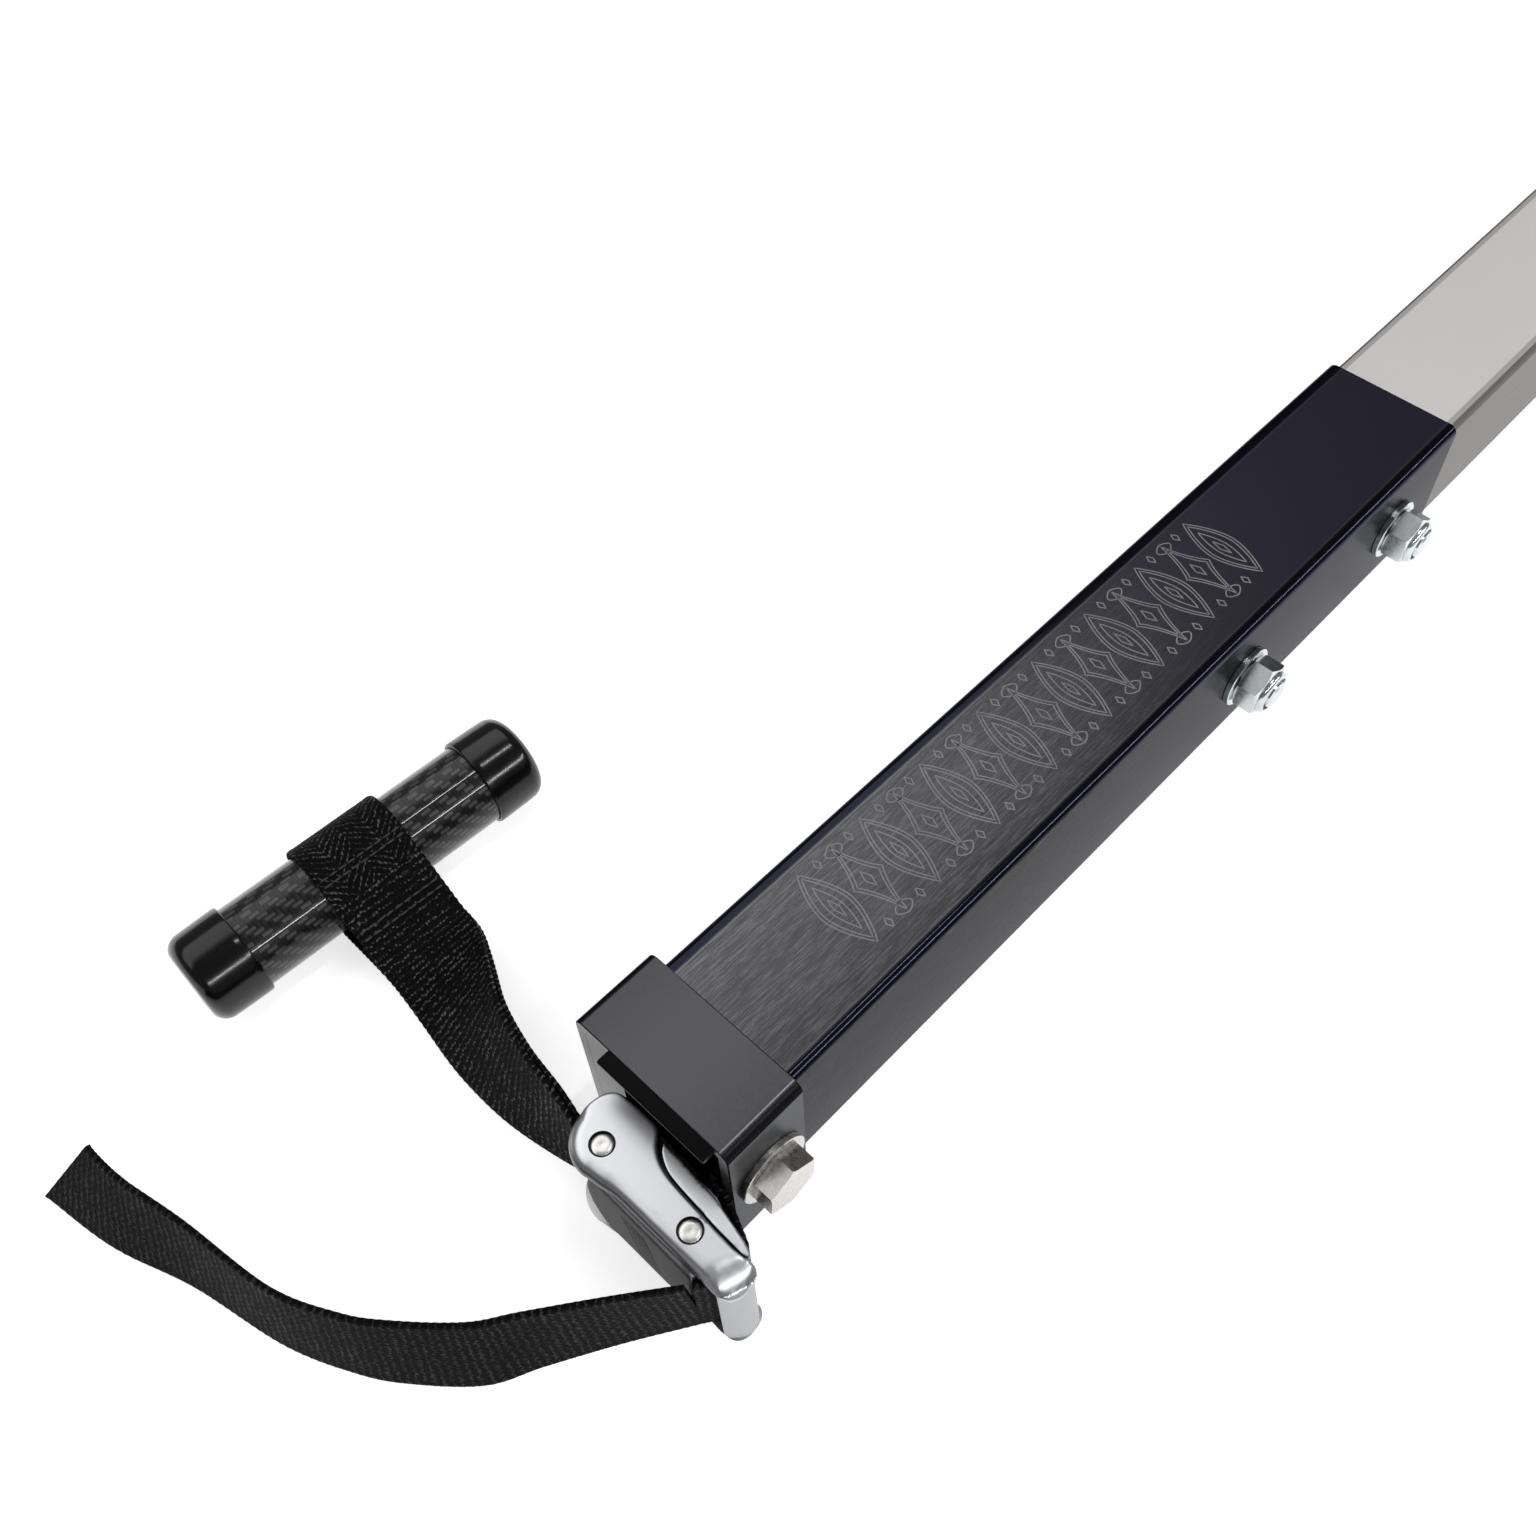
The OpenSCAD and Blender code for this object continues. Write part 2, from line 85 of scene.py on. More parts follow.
def make_object(name, verts, faces, material, sharp=None):
    """A closed mesh with smooth faces that look outwards. Edges sharper than sharp degrees
    stay hard."""
    mesh = bpy.data.meshes.new(name)
    mesh.from_pydata([tuple(map(float, v)) for v in verts], [], faces)
    mesh.validate()
    mesh.update()
    mesh.polygons.foreach_set("use_smooth", [True] * len(mesh.polygons))
    if sharp:
        mesh.set_sharp_from_angle(angle=math.radians(sharp))
    mesh.materials.append(material)
    made = bpy.data.objects.new(name, mesh)
    scene.collection.objects.link(made)
    work = bmesh.new()
    work.from_mesh(mesh)
    bmesh.ops.recalc_face_normals(work, faces=work.faces)
    work.to_mesh(mesh)
    work.free()
    return made


def fit(pieces, body, slot, *replaced):
    """Puts pieces on a body in place of CAD nodes. The finish given as slot is not used."""
    for piece in pieces:
        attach(piece, body)
        if replaced:
            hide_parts(*replaced)


def add_bevel(made, width, angle=30):
    bevel = made.modifiers.new("bevel", "BEVEL")
    bevel.width = width * MM
    bevel.segments = 3
    bevel.limit_method = "ANGLE"
    bevel.angle_limit = math.radians(angle)
    bevel.harden_normals = True
    return made


def float_attribute(made, name, values):
    layer = made.data.attributes.new(name, "FLOAT", "POINT")
    layer.data.foreach_set("value", np.asarray(values, dtype=np.float32))


def ring_faces(n_rings, n, closed=False):
    """Quads between successive rings of n points."""
    faces = []
    for i in range(n_rings if closed else n_rings - 1):
        a, b = i * n, (i + 1) % n_rings * n
        for k in range(n):
            m = (k + 1) % n
            faces.append((a + k, b + k, b + m, a + m))
    return faces


def caps(n, total):
    """The two end faces of total points in rings of n."""
    return [tuple(range(n))[::-1], tuple(range(total - n, total))]


def prism(name, outline, low, high, material, sharp=30, axis=2):
    """An outline across an axis, run along it from low to high."""
    n = len(outline)
    verts = [[c * MM for c in (*q[:axis], at, *q[axis:])] for at in (low, high) for q in outline]
    faces = caps(n, 2 * n) + [(k, (k + 1) % n, n + (k + 1) % n, n + k) for k in range(n)]
    return make_object(name, verts, faces, material, sharp)


def spun(name, levels, place, material, sharp, closed, turn=0.0):
    """Rings of (radius, height) points about Z, put where place says. turn is in degrees."""
    n = len(levels[0])
    verts = []
    for level in levels:
        for k, (r, z) in enumerate(level):
            a = 2 * math.pi * k / n + math.radians(turn)
            verts.append(place @ Vector((r * math.cos(a) * MM, r * math.sin(a) * MM, z * MM)))
    faces = ring_faces(len(levels), n, closed) + ([] if closed else caps(n, len(verts)))
    return make_object(name, verts, faces, material, sharp)


def lathe(name, profile, place, material, around=96, sharp=30, closed=False):
    """Turns a profile of (radius, height) about Z."""
    return spun(name, [[point] * around for point in profile], place, material, sharp, closed)


def arc(cx, cy, r, a0, a1, n=10):
    """n steps along an arc, from a0 to a1 degrees."""
    angles = [math.radians(a0 + (a1 - a0) * i / n) for i in range(n + 1)]
    return [(cx + r * math.cos(a), cy + r * math.sin(a)) for a in angles]


def catmull(a, b, c, d, u):
    return 0.5 * (2 * b + (c - a) * u + (2 * a - 5 * b + 4 * c - d) * u * u
                  + (3 * b - 3 * c + d - a) * u ** 3)


def smooth_open(points, per_step):
    """Catmull-Rom curve through the rows of points, ends included."""
    p = np.asarray(points, float)
    last = len(p) - 1
    out = []
    for k in range(last * per_step + 1):
        s = k / per_step
        i = min(int(s), last - 1)
        out.append(catmull(p[max(i - 1, 0)], p[i], p[i + 1], p[min(i + 2, last)], s - i))
    return np.array(out)


def smooth_loop(points, per_step=5):
    p = np.asarray(points, float)
    n = len(p)
    return np.array([catmull(p[i - 1], p[i], p[(i + 1) % n], p[(i + 2) % n], k / per_step)
                     for i in range(n) for k in range(per_step)])


def run_along(points):
    """The distance along a line at each of its points."""
    return np.concatenate([[0], np.cumsum(np.linalg.norm(np.diff(points, axis=0), axis=1))])


def even_steps(points, step):
    """The same line with points a constant distance apart, and the distance along it."""
    p = np.asarray(points, float)
    run = run_along(p[:, :3])
    at = np.linspace(0, run[-1], max(int(round(run[-1] / step)), 2) + 1)
    return np.stack([np.interp(at, run, p[:, k]) for k in range(p.shape[1])], axis=1), at


def unit_rows(v):
    return v / np.maximum(np.linalg.norm(v, axis=1, keepdims=True), 1e-9)


def ease(rows, times):
    """Moves each row part of the way to the middle of its neighbours."""
    for _ in range(times):
        rows[1:-1] += 0.25 * (rows[2:] + rows[:-2] - 2 * rows[1:-1])


def headings(points):
    return unit_rows(np.gradient(points, axis=0))


def to_the_left(loop):
    """Unit vectors a quarter turn left of a closed line's direction at each point."""
    forward = unit_rows(np.roll(loop, -1, 0) - np.roll(loop, 1, 0))
    return np.stack([-forward[:, 1], forward[:, 0]], axis=1)


# ---- Node materials ----


class Value:
    """A value in a node tree. Sums of values make the nodes that work them out."""

    def __init__(self, nodes, socket):
        self.nodes = nodes
        self.socket = socket

    def __add__(self, other):
        return self.nodes.math("ADD", self, other)

    def __sub__(self, other):
        return self.nodes.math("SUBTRACT", self, other)

    def __rsub__(self, other):
        return self.nodes.math("SUBTRACT", other, self)

    def __mul__(self, other):
        return self.nodes.math("MULTIPLY", self, other)

    def __truediv__(self, other):
        return self.nodes.math("DIVIDE", self, other)

    def __abs__(self):
        return self.nodes.math("ABSOLUTE", self)


class Nodes:
    """Short ways to add shader nodes to one material."""

    def __init__(self, name):
        self.material = bpy.data.materials.new(name)
        self.material.use_nodes = True
        self.tree = self.material.node_tree
        self.shader = self.tree.nodes["Principled BSDF"]

    def add(self, kind, output, inputs=None, **settings):
        """Adds a node and gives one of its outputs as a value."""
        made = self.tree.nodes.new(kind)
        for key, value in settings.items():
            setattr(made, key, value)
        for key, value in (inputs or {}).items():
            self.put(made.inputs[key], value)
        return Value(self, made.outputs[output])

    def put(self, socket, value):
        if isinstance(value, Value):
            self.tree.links.new(value.socket, socket)
        else:
            socket.default_value = value

    def set(self, **values):
        for key, value in values.items():
            self.put(self.shader.inputs[key.replace("_", " ")], value)

    def math(self, operation, a, b=0.0, c=0.0):
        return self.add("ShaderNodeMath", 0, {0: a, 1: b, 2: c}, operation=operation)

    def place(self):
        return self.add("ShaderNodeTexCoord", "Object")

    def axis(self, k):
        return self.add("ShaderNodeSeparateXYZ", k, {0: self.place()})

    def attribute(self, name):
        return self.add("ShaderNodeAttribute", "Fac", attribute_name=name)

    def stretched(self, scale):
        return self.add("ShaderNodeMapping", 0, {"Vector": self.place(), "Scale": scale})

    def noise(self, vector, scale, detail=2.0, rough=0.5):
        return self.add("ShaderNodeTexNoise", "Fac", {"Vector": vector, "Scale": scale,
                                                      "Detail": detail, "Roughness": rough})

    def ramp(self, factor, stops):
        """A colour that goes from stop to stop, each a place and a colour."""
        made = self.add("ShaderNodeValToRGB", "Color", {"Fac": factor})
        line = made.socket.node.color_ramp
        while len(line.elements) < len(stops):
            line.elements.new(0.5)
        for element, (at, colour) in zip(line.elements, stops):
            element.position = at
            element.color = (*colour, 1)
        return made

    def span(self, value, low, high, to_low=0.0, to_high=1.0):
        """A value between low and high, carried over to between to_low and to_high."""
        return self.add("ShaderNodeMapRange", "Result",
                        {"Value": value, "From Min": low, "From Max": high,
                         "To Min": to_low, "To Max": to_high})

    def mix(self, factor, a, b):
        a, b = [(*v, 1) if isinstance(v, tuple) else v for v in (a, b)]
        return self.add("ShaderNodeMix", "Result", {"Factor": factor, "A": a, "B": b},
                        data_type="RGBA")

    def bump(self, height, strength, distance, **more):
        return self.add("ShaderNodeBump", "Normal",
                        {"Height": height, "Strength": strength, "Distance": distance, **more})


def tinted(colour, share):
    return tuple(c * share for c in colour)


def black_metal(name, colour, rough, streaks=0.0, painted_edge_shading=False, painted_collar_shading=False):
    """Black anodised aluminium. streaks brings in fine brushing along the bar, and
    painted_edge_shading leaves the top's long margins and corners unbrushed and paints them darker,
    as shade, with a painted highlight line inside each and a painted bluish reflection
    towards the far end. painted_collar_shading is for the collar, whose rounded corners are painted
    darker, as shade, and whose top is painted paler towards the bolt's side, as light."""
    m = Nodes(name)
    x, y, z = (m.axis(k) for k in range(3))
    if streaks:
        fine = m.noise(m.stretched((150, 2400, 2400)), 1.0, 4.0, 0.75)
        broad = m.noise(m.stretched((9, 120, 120)), 1.0, 3.0, 0.6)
        # The brushing fades out towards the far end: its pale streaks are painted sheen, which is
        # strongest near the mouth where the light falls
        lines = (fine * 0.85 + broad * 0.15 - 0.5) * m.span(x, 0.12, 0.19, 1.0, 0.12) + 0.5
    else:
        lines = m.noise(m.place(), 1400.0)
    tone = m.ramp(lines, [(0.36, tinted(colour, 0.96 - 0.3 * streaks)), (0.5, colour),
                          (0.66, tinted(colour, 1.04 + 0.75 * streaks))])
    roughness = m.span(lines, 0.35, 0.65, rough - 0.015, rough + 0.015)
    if painted_edge_shading:
        # Painted reflection: the top turns a little bluer towards the far end, where it reflects
        # the bluish sky; the sides are mixed towards a plain neutral tone
        top = m.span(z, 0.04, 0.041)
        tone = m.mix(m.span(x, 0.12, 0.2, 0.0, 0.5) * top, tone, (0.074, 0.064, 0.12))
        tone = m.mix(m.span(top, 0.0, 1.0, 0.6, 0.0), tone, (0.07, 0.0705, 0.063))
        off_centre = abs(y + 0.0004)
        # Painted shade: the top's long margins, over the rounded corners, are painted much darker,
        # standing for the dark band where each corner turns away from the light
        margin = m.span(off_centre, 0.0165, 0.0171) * m.span(z, 0.0412, 0.0418)
        tone = m.mix(margin, tone, (*tinted(colour[:2], 0.22), colour[2] * 0.32))
        # Painted highlight: a pale line runs along the inside of each margin
        line = m.math("COMPARE", off_centre, 0.01645, 0.00016) * m.span(z, 0.0424, 0.0428)
        tone = m.mix(line, tone, tinted(colour, 1.6))
        roughness = roughness - margin * 0.12
    if painted_collar_shading:
        shaded_corner = m.span(abs(y), 0.0206, 0.0214) * m.span(z, 0.0412, 0.0418)
        # Painted light and shade: the top is painted paler towards the bolt's side and darker
        # towards the other side
        tone = m.mix(m.span(y, 0.02, -0.02), m.mix(0.2, tone, (0, 0, 0)),
                     m.mix(0.45, tone, tinted(colour, 1.8)))
        # Painted shade: the rounded corners are painted nearly black
        tone = m.mix(shaded_corner, tone, tinted(colour, 0.12))
        roughness = roughness + shaded_corner * 0.1
        lines = lines * (1.0 - shaded_corner)
    m.set(Base_Color=tone, Metallic=1.0, Roughness=roughness, Specular_Tint=(0.5, 0.5, 0.52, 1),
          Normal=m.bump(lines, 0.01 + 0.06 * streaks, 0.00003))
    return m.material


def tube_metal(name, colour, rough):
    """Natural anodised tube. Its top's long margins, corners and sides are painted darker, as
    shade, and its corners are rougher.
    """
    m = Nodes(name)
    fine = m.noise(m.stretched((40, 700, 700)), 1.0, 3.0, 0.6)
    cloud = m.noise(m.place(), 30.0)
    off_centre = abs(m.axis(1))
    z = m.axis(2)
    shaded_corner = m.span(off_centre, 0.0172, 0.0175) * m.span(z, 0.038, 0.0384)
    tone = m.ramp(fine * 0.5 + cloud * 0.5, [(0.3, tinted(colour, 0.97)), (0.7, colour)])
    # Painted shade: the margins, the sides and the corners are painted darker
    for where, share in ((m.span(off_centre, 0.0157, 0.0161), 0.6),
                         (m.span(z, 0.0395, 0.0402, 1.0, 0.0), 0.26), (shaded_corner, 0.16)):
        tone = m.mix(where, tone, tinted(colour, share))
    m.set(Base_Color=tone, Metallic=0.35, Specular_IOR_Level=0.2, Specular_Tint=(0.4, 0.4, 0.4, 1),
          Roughness=m.span(fine, 0.3, 0.7, rough - 0.02, rough + 0.02) + shaded_corner * 0.25,
          Normal=m.bump(fine, 0.05, 0.00003))
    return m.material


def satin_metal(name, colour, rough, grain, scale, bump, marks, edge=1.0, rolled=None):
    """Satin metal: a fine grain, soft cloudy variation and a few dull marks. rolled is the
    share of the tone painted, as shade, on faces that tilt away from level, such as rolled edges."""
    m = Nodes(name)
    fine = m.noise(m.place(), scale, 3.0, 0.6)
    cloud = m.noise(m.place(), 45.0)
    pale = tuple(min(c, 1.0) for c in tinted(colour, 1 + marks * 0.6))
    tone = m.ramp(cloud * 0.6 + fine * 0.4,
                  [(0.35, tinted(colour, 1 - marks)), (0.5, colour), (0.65, pale)])
    if rolled:
        # Painted shade: faces that tilt away from level are painted darker
        facing = m.add("ShaderNodeSeparateXYZ", 2, {0: m.add("ShaderNodeTexCoord", "Normal")})
        tone = m.mix(m.span(abs(facing), 0.55, 0.985, 1.0, 0.0), tone, tinted(colour, rolled))
    m.set(Base_Color=tone, Metallic=1.0, Specular_Tint=(edge, edge, edge, 1),
          Roughness=m.span(fine, 0.3, 0.7, rough - grain, rough + grain)
          + m.span(cloud, 0.3, 0.7, -0.03, 0.03),
          Normal=m.bump(fine, bump, 0.00003))
    return m.material


# Webbing, in millimetres: between two yarns, between two rows of picks, and between the
# turns of the slanting lines. SLOPE is how many rows the lines climb over a millimetre,
# and STAGGER how far every second yarn is shifted elsewhere
YARN = 0.98
ROW = 1.9
BAND = 6.25
SLOPE = 0.85 / ROW
STAGGER = 0.12


def webbing_material(name, tint, pale):
    """Heavy nylon webbing. Each warp yarn rises over a few picks and dives again. Where
    slant is 1 the floats run in slanting lines that turn back every few yarns, and
    elsewhere they stand in crosswise rows."""
    m = Nodes(name)
    across = m.attribute("across")
    slant = m.attribute("slant")
    u = m.attribute("along") / ROW + m.noise(m.place(), 420.0) * 0.9
    v = across / YARN
    slanted = m.math("PINGPONG", across, BAND) * SLOPE
    rows = m.math("FLOORED_MODULO", m.math("FLOOR", v), 2.0) * STAGGER
    row = m.math("FRACT", u + (slanted * slant + rows * (1.0 - slant)))
    bulge_v = m.math("SINE", m.math("FRACT", v) * math.pi)
    bulge_u = m.math("SINE", m.math("MINIMUM", row * 1.5, 1.0) * math.pi)
    broken = m.span(m.noise(m.place(), 900.0), 0.36, 0.56, 0.45, 1.0)
    height = m.span(bulge_v, 0.0, 1.0, 0.6, 1.0) * broken * m.math("MAXIMUM", bulge_u, 0.0)
    fibre = m.noise(m.place(), 3600.0)
    patch = m.noise(m.place(), 150.0)
    # Painted light and shade: the yarns' crests are painted pale, as their sheen, and the hollows
    # between them dark, as shade
    crest_light_and_shade = (height * m.span(fibre, 0.25, 0.75, 0.6, 1.25)) * m.span(patch, 0.3, 0.7, 0.75, 1.15)
    m.set(Base_Color=m.ramp(crest_light_and_shade, [(0.25, tinted(tint, 0.3)), (0.55, tint), (0.92, pale)]),
          Roughness=m.span(crest_light_and_shade, 0.0, 1.0, 0.8, 0.5), Specular_IOR_Level=0.09,
          Normal=m.bump(height, 1.0, 0.0005, Normal=m.bump(fibre, 0.4, 0.00006)))
    return m.material


def carbon_material():
    """Two-by-two twill carbon under clear lacquer."""
    m = Nodes("carbon_twill")
    tow = 1.35
    u = m.attribute("along") / tow
    v = m.attribute("around") / tow
    turn = m.math("FLOORED_MODULO", m.math("FLOOR", u) + m.math("FLOOR", v), 4.0)
    warp_up = m.math("LESS_THAN", turn, 1.5)
    # One cell in four is a little duller than the others
    glossy = m.math("LESS_THAN", abs(turn - 2.0), 1.2)
    crest_u, crest_v = (m.math("SINE", m.math("FRACT", w) * math.pi) for w in (u, v))

    # Painted sheen: warp tows are painted lighter than weft tows, and each tow brightens towards
    # its crest, standing for how the fibres catch the light
    def painted_tow_sheen(crest, power, fine_u, fine_v, stops):
        at = m.add("ShaderNodeCombineXYZ", 0, {0: u * fine_u, 1: v * fine_v})
        return m.ramp(m.math("POWER", crest, power) * m.span(m.noise(at, 1.0), 0.2, 0.8, 0.5, 1.3),
                      stops)

    warp = painted_tow_sheen(crest_v, 0.8, 0.7, 16.0, [(0.1, (0.002,) * 3),
                                              (0.55, (0.022, 0.0215, 0.022)),
                                              (1.0, (0.062, 0.06, 0.059))])
    weft = painted_tow_sheen(crest_u, 0.5, 16.0, 0.7, [(0.1, (0.001, 0.001, 0.0015)),
                                              (0.6, (0.003, 0.003, 0.0035)),
                                              (1.0, (0.009, 0.009, 0.01))])
    height = warp_up * crest_v + (1.0 - warp_up) * crest_u
    m.set(Base_Color=m.mix(warp_up, weft, warp), Metallic=0.3, Specular_IOR_Level=0.2,
          Roughness=m.span(glossy, 0.0, 1.0, 0.42, 0.34),
          Coat_Weight=1.0, Coat_Roughness=0.03, Coat_IOR=1.31,
          Normal=m.bump(height, 0.35, 0.00012))
    return m.material


def moulded(name, colour, rough, grain_scale, grain, gloss=0.5):
    """Moulded plastic or rubber with a fine skin and soft mottling."""
    m = Nodes(name)
    fine = m.noise(m.place(), grain_scale, 3.0, 0.6)
    cloud = m.noise(m.place(), 70.0)
    m.set(Base_Color=m.ramp(cloud, [(0.3, tinted(colour, 0.75)), (0.7, colour)]),
          Roughness=m.span(fine * 0.5 + cloud * 0.5, 0.3, 0.7, rough - 0.03, rough + 0.03),
          Specular_IOR_Level=gloss, Normal=m.bump(fine, grain, 0.00008))
    return m.material


# The sleeve's top carries painted shade on its margins, a painted highlight line and a painted
# bluish reflection towards the far end
SLEEVE = black_metal("sleeve_black", (0.075, 0.0755, 0.079), 0.27, 1.0, painted_edge_shading=True)
# The collar's rounded corners carry painted shade, and its top painted light towards the bolt's
# side
COLLAR = black_metal("collar_black", (0.07, 0.07, 0.075), 0.27, painted_collar_shading=True)
# Painted light: a lighter copy of the collar's black, for its two flat sides
LIT_COLLAR_SIDE = black_metal("collar_side_painted_light", (0.14, 0.143, 0.143), 0.3)
MACHINED = satin_metal("machined_face", (0.3, 0.3, 0.292), 0.4, 0.03, 1100.0, 0.15, 0.08)
SILVER = tube_metal("tube_silver", (0.73, 0.71, 0.685), 0.4)
# Painted shade: a darker copy of the buckle's cast finish, for the walls between the plates
SHADED_CAST_WALL = satin_metal("buckle_cast_wall_shaded", (0.33, 0.335, 0.345), 0.4, 0.025, 1300.0, 0.08, 0.05)
# Painted shade: the cast plates are painted darker where their faces tilt away from level, on the
# rolled edges and the nose
CAST = satin_metal("buckle_cast", (0.62, 0.628, 0.642), 0.33, 0.025, 1300.0, 0.05, 0.03, rolled=0.2)
# Painted shade: a dark tone for the web at the bottom of the groove; the seats round the pin heads
# take the same dark tone
RECESS = satin_metal("buckle_recess", (0.06, 0.06, 0.062), 0.5, 0.04, 1300.0, 0.1, 0.1)
LEVER = satin_metal("lever_grey", (0.14, 0.14, 0.141), 0.4, 0.03, 1300.0, 0.1, 0.12, edge=0.4)
PIN = satin_metal("pin_steel", (0.7, 0.69, 0.66), 0.33, 0.06, 900.0, 0.9, 0.2)
STAINLESS = satin_metal("stainless", (0.56, 0.545, 0.515), 0.3, 0.06, 900.0, 0.3, 0.22)
ZINC = satin_metal("zinc_plate", (0.56, 0.595, 0.605), 0.2, 0.05, 700.0, 0.1, 0.12)
BLOCK = moulded("block_nylon", (0.0014, 0.0014, 0.0016), 0.5, 1600.0, 0.06, gloss=0.0)
STRIP = moulded("strip_gloss", (0.001, 0.001, 0.0013), 0.22, 900.0, 0.03, gloss=0.05)
BOOT = moulded("boot_rubber", (0.008, 0.008, 0.009), 0.62, 1400.0, 0.25)
CAP = moulded("cap_vinyl", (0.002, 0.002, 0.0024), 0.17, 260.0, 0.05, gloss=0.36)
CARBON = carbon_material()
# The pale second colour of each webbing is the painted sheen on its yarns' crests
WEBBING = webbing_material("webbing", (0.0045, 0.0045, 0.005), (0.1, 0.1, 0.104))
TAIL_WEB = webbing_material("webbing_tail", (0.0016, 0.0016, 0.0026), (0.025, 0.026, 0.032))
THREAD = moulded("thread", (0.02, 0.02, 0.021), 0.5, 4000.0, 0.3)
NUT_RING = moulded("nut_insert", (0.03, 0.035, 0.05), 0.35, 1800.0, 0.1)
ETCH = moulded("etched_line", (0.2, 0.2, 0.204), 0.55, 3000.0, 0.2)

# ---- Webbing ----

STRAP_W = 25.0
STRAP_T = 1.5


def strap_mesh(name, centre, wide, through, material, run0=0.0, relief=0.055, cut_end=0.0,
               slant=(0, 0)):
    """One layer of webbing along centre (mm), as a closed skin with rounded edges.
    wide and through are the unit vectors of its width and thickness. Its surface rises
    and falls with the yarns. cut_end slants the far end by that much over the width."""
    c = np.asarray(centre, float)
    run = run0 + run_along(c)
    half = STRAP_W / 2
    edge = 0.5
    inner = np.arange(-half + edge + 0.1, half - edge, YARN / 2)
    top = [(x, 1.0) for x in inner]
    ends = [(half - edge + edge * math.sin(a), math.cos(a)) for a in np.radians([36, 72, 108, 144])]
    section = top + ends + [(x, -z) for x, z in top[::-1]] + [(-x, -z) for x, z in ends]
    x, z = np.array(section).T
    index = np.floor((x + half) / YARN)
    fold = np.abs((x + half + BAND) % (2 * BAND) - BAND) * SLOPE
    crest = (0.45 + 0.55 * np.abs(np.sin(math.pi * (x + half) / YARN))) * (np.abs(z) > 0.9)
    tangent = headings(c)
    verts, along = [], []
    for i, s in enumerate(run):
        near_end = max(0.0, 1 - (run[-1] - s) / 22.0)
        shift = -cut_end * near_end * (x / STRAP_W)
        at = s + shift
        phase = fold if slant[0] < s < slant[1] else (index % 2) * STAGGER
        wave = relief * crest * np.cos(2 * math.pi * (at / ROW + phase - 0.33))
        swell = 0.06 * np.exp(-((np.abs(x) - half + 1.2) / 0.8) ** 2)
        thick = (STRAP_T / 2 + wave + swell - relief) * z
        scallop = 0.09 * np.cos(2 * math.pi * s / ROW) * (np.abs(x) > half - edge)
        verts.append(c[i] + np.outer(x + np.sign(x) * scallop, wide[i])
                     + np.outer(thick, through[i]) + np.outer(shift, tangent[i]))
        along.append(at)
    verts = np.concatenate(verts) * MM
    n = len(section)
    faces = ring_faces(len(c), n) + caps(n, len(verts))
    made = make_object(name, verts, faces, material)
    float_attribute(made, "along", np.concatenate(along))
    float_attribute(made, "across", np.tile(x + half, len(c)))
    float_attribute(made, "slant", np.repeat((run > slant[0]) & (run < slant[1]), n))
    return made


def rolled(points, roll):
    """Width and thickness directions of a strap whose width is rolled from level."""
    t = headings(points)
    level = unit_rows(np.cross(UP, t))
    a = np.radians(roll)[:, None]
    wide = np.cos(a) * level + np.sin(a) * np.cross(t, level)
    return wide, np.cross(t, wide)


# The free tail: from the buckle's throat to its slanting cut end
TAIL = [(-30.4, -30.8, STRAP_Z, 90), (-44, -20.5, 15, 94), (-58.5, -10.5, 13.6, 99),
        (-68.5, -4, 13, 103), (-79, 7.5, 13, 103), (-85.5, 17, 13, 102), (-92.5, 32.5, 13, 102),
        (-98, 57.5, 12.8, 107), (-104, 78, 12.2, 115), (-106.5, 94, 11.6, 121)]
tail_route, tail_run = even_steps(smooth_open(TAIL, 12), 0.4)
tail_line = tail_route[:, :3]
tail_wide, tail_through = rolled(tail_line, tail_route[:, 3])
tail = strap_mesh("tail_webbing", tail_line, tail_wide, tail_through, TAIL_WEB, run0=40.0,
                  relief=0.07, cut_end=13.0)
fit([tail], "buckle", "webbing", "tail_strap")

# The clamped root and the lead into the buckle, in one length that bends at the fold
ROOT_Y = -17.45
FRONT_X = -12.6
TURN_R, LEAN, FOLD_END, THROAT_Y = 4.0, 24, -22.3, -34.4
turn_x = FRONT_X - TURN_R - (FOLD_END - THROAT_Y - TURN_R) * math.tan(math.radians(LEAN))
lead_plan = ([(9, ROOT_Y), (-9.4, ROOT_Y)] + arc(-10.4, -19.65, 2.2, 90, 180)
             + arc(FRONT_X - TURN_R, FOLD_END, TURN_R, 0, -LEAN, 6)
             + arc(turn_x, THROAT_Y + TURN_R, TURN_R, -LEAN, -90)
             + arc(-23.5, -28.4, 6, -90, -126) + [(-30.27, -30.88)])
lead_route, _ = even_steps([(x, y, STRAP_Z) for x, y in lead_plan], 0.4)
lead = strap_mesh("lead_webbing", lead_route, np.tile(UP, (len(lead_route), 1)),
                  np.cross(headings(lead_route), UP), TAIL_WEB, relief=0.05)
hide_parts("strap_root", "strap_lead")
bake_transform(lead)

# The sling: one length round the fixed bar and round the handle, its two runs sewn together
GRIP_C = np.array([-11.5, 109, 13.2])
GRIP_TURN = math.radians(-3)
GRIP_AXIS = np.array([math.cos(GRIP_TURN), math.sin(GRIP_TURN), 0])
GRIP_SIDE = np.array([-math.sin(GRIP_TURN), math.cos(GRIP_TURN), 0])
SLING = [(-13.9, 83, 8.6, 0), (-14.5, 76, 8.8, 16), (-17, 66, 9.8, 35), (-21.5, 50, 12.6, 54),
         (-23.5, 35, 14.6, 66), (-23.5, 20, 16.4, 78), (-23.5, 9.5, STRAP_Z, 90)]
sling_route, _ = even_steps(smooth_open(SLING, 14), 0.55)
mid = sling_route[:, :3]
mid_wide, mid_through = rolled(mid, sling_route[:, 3])
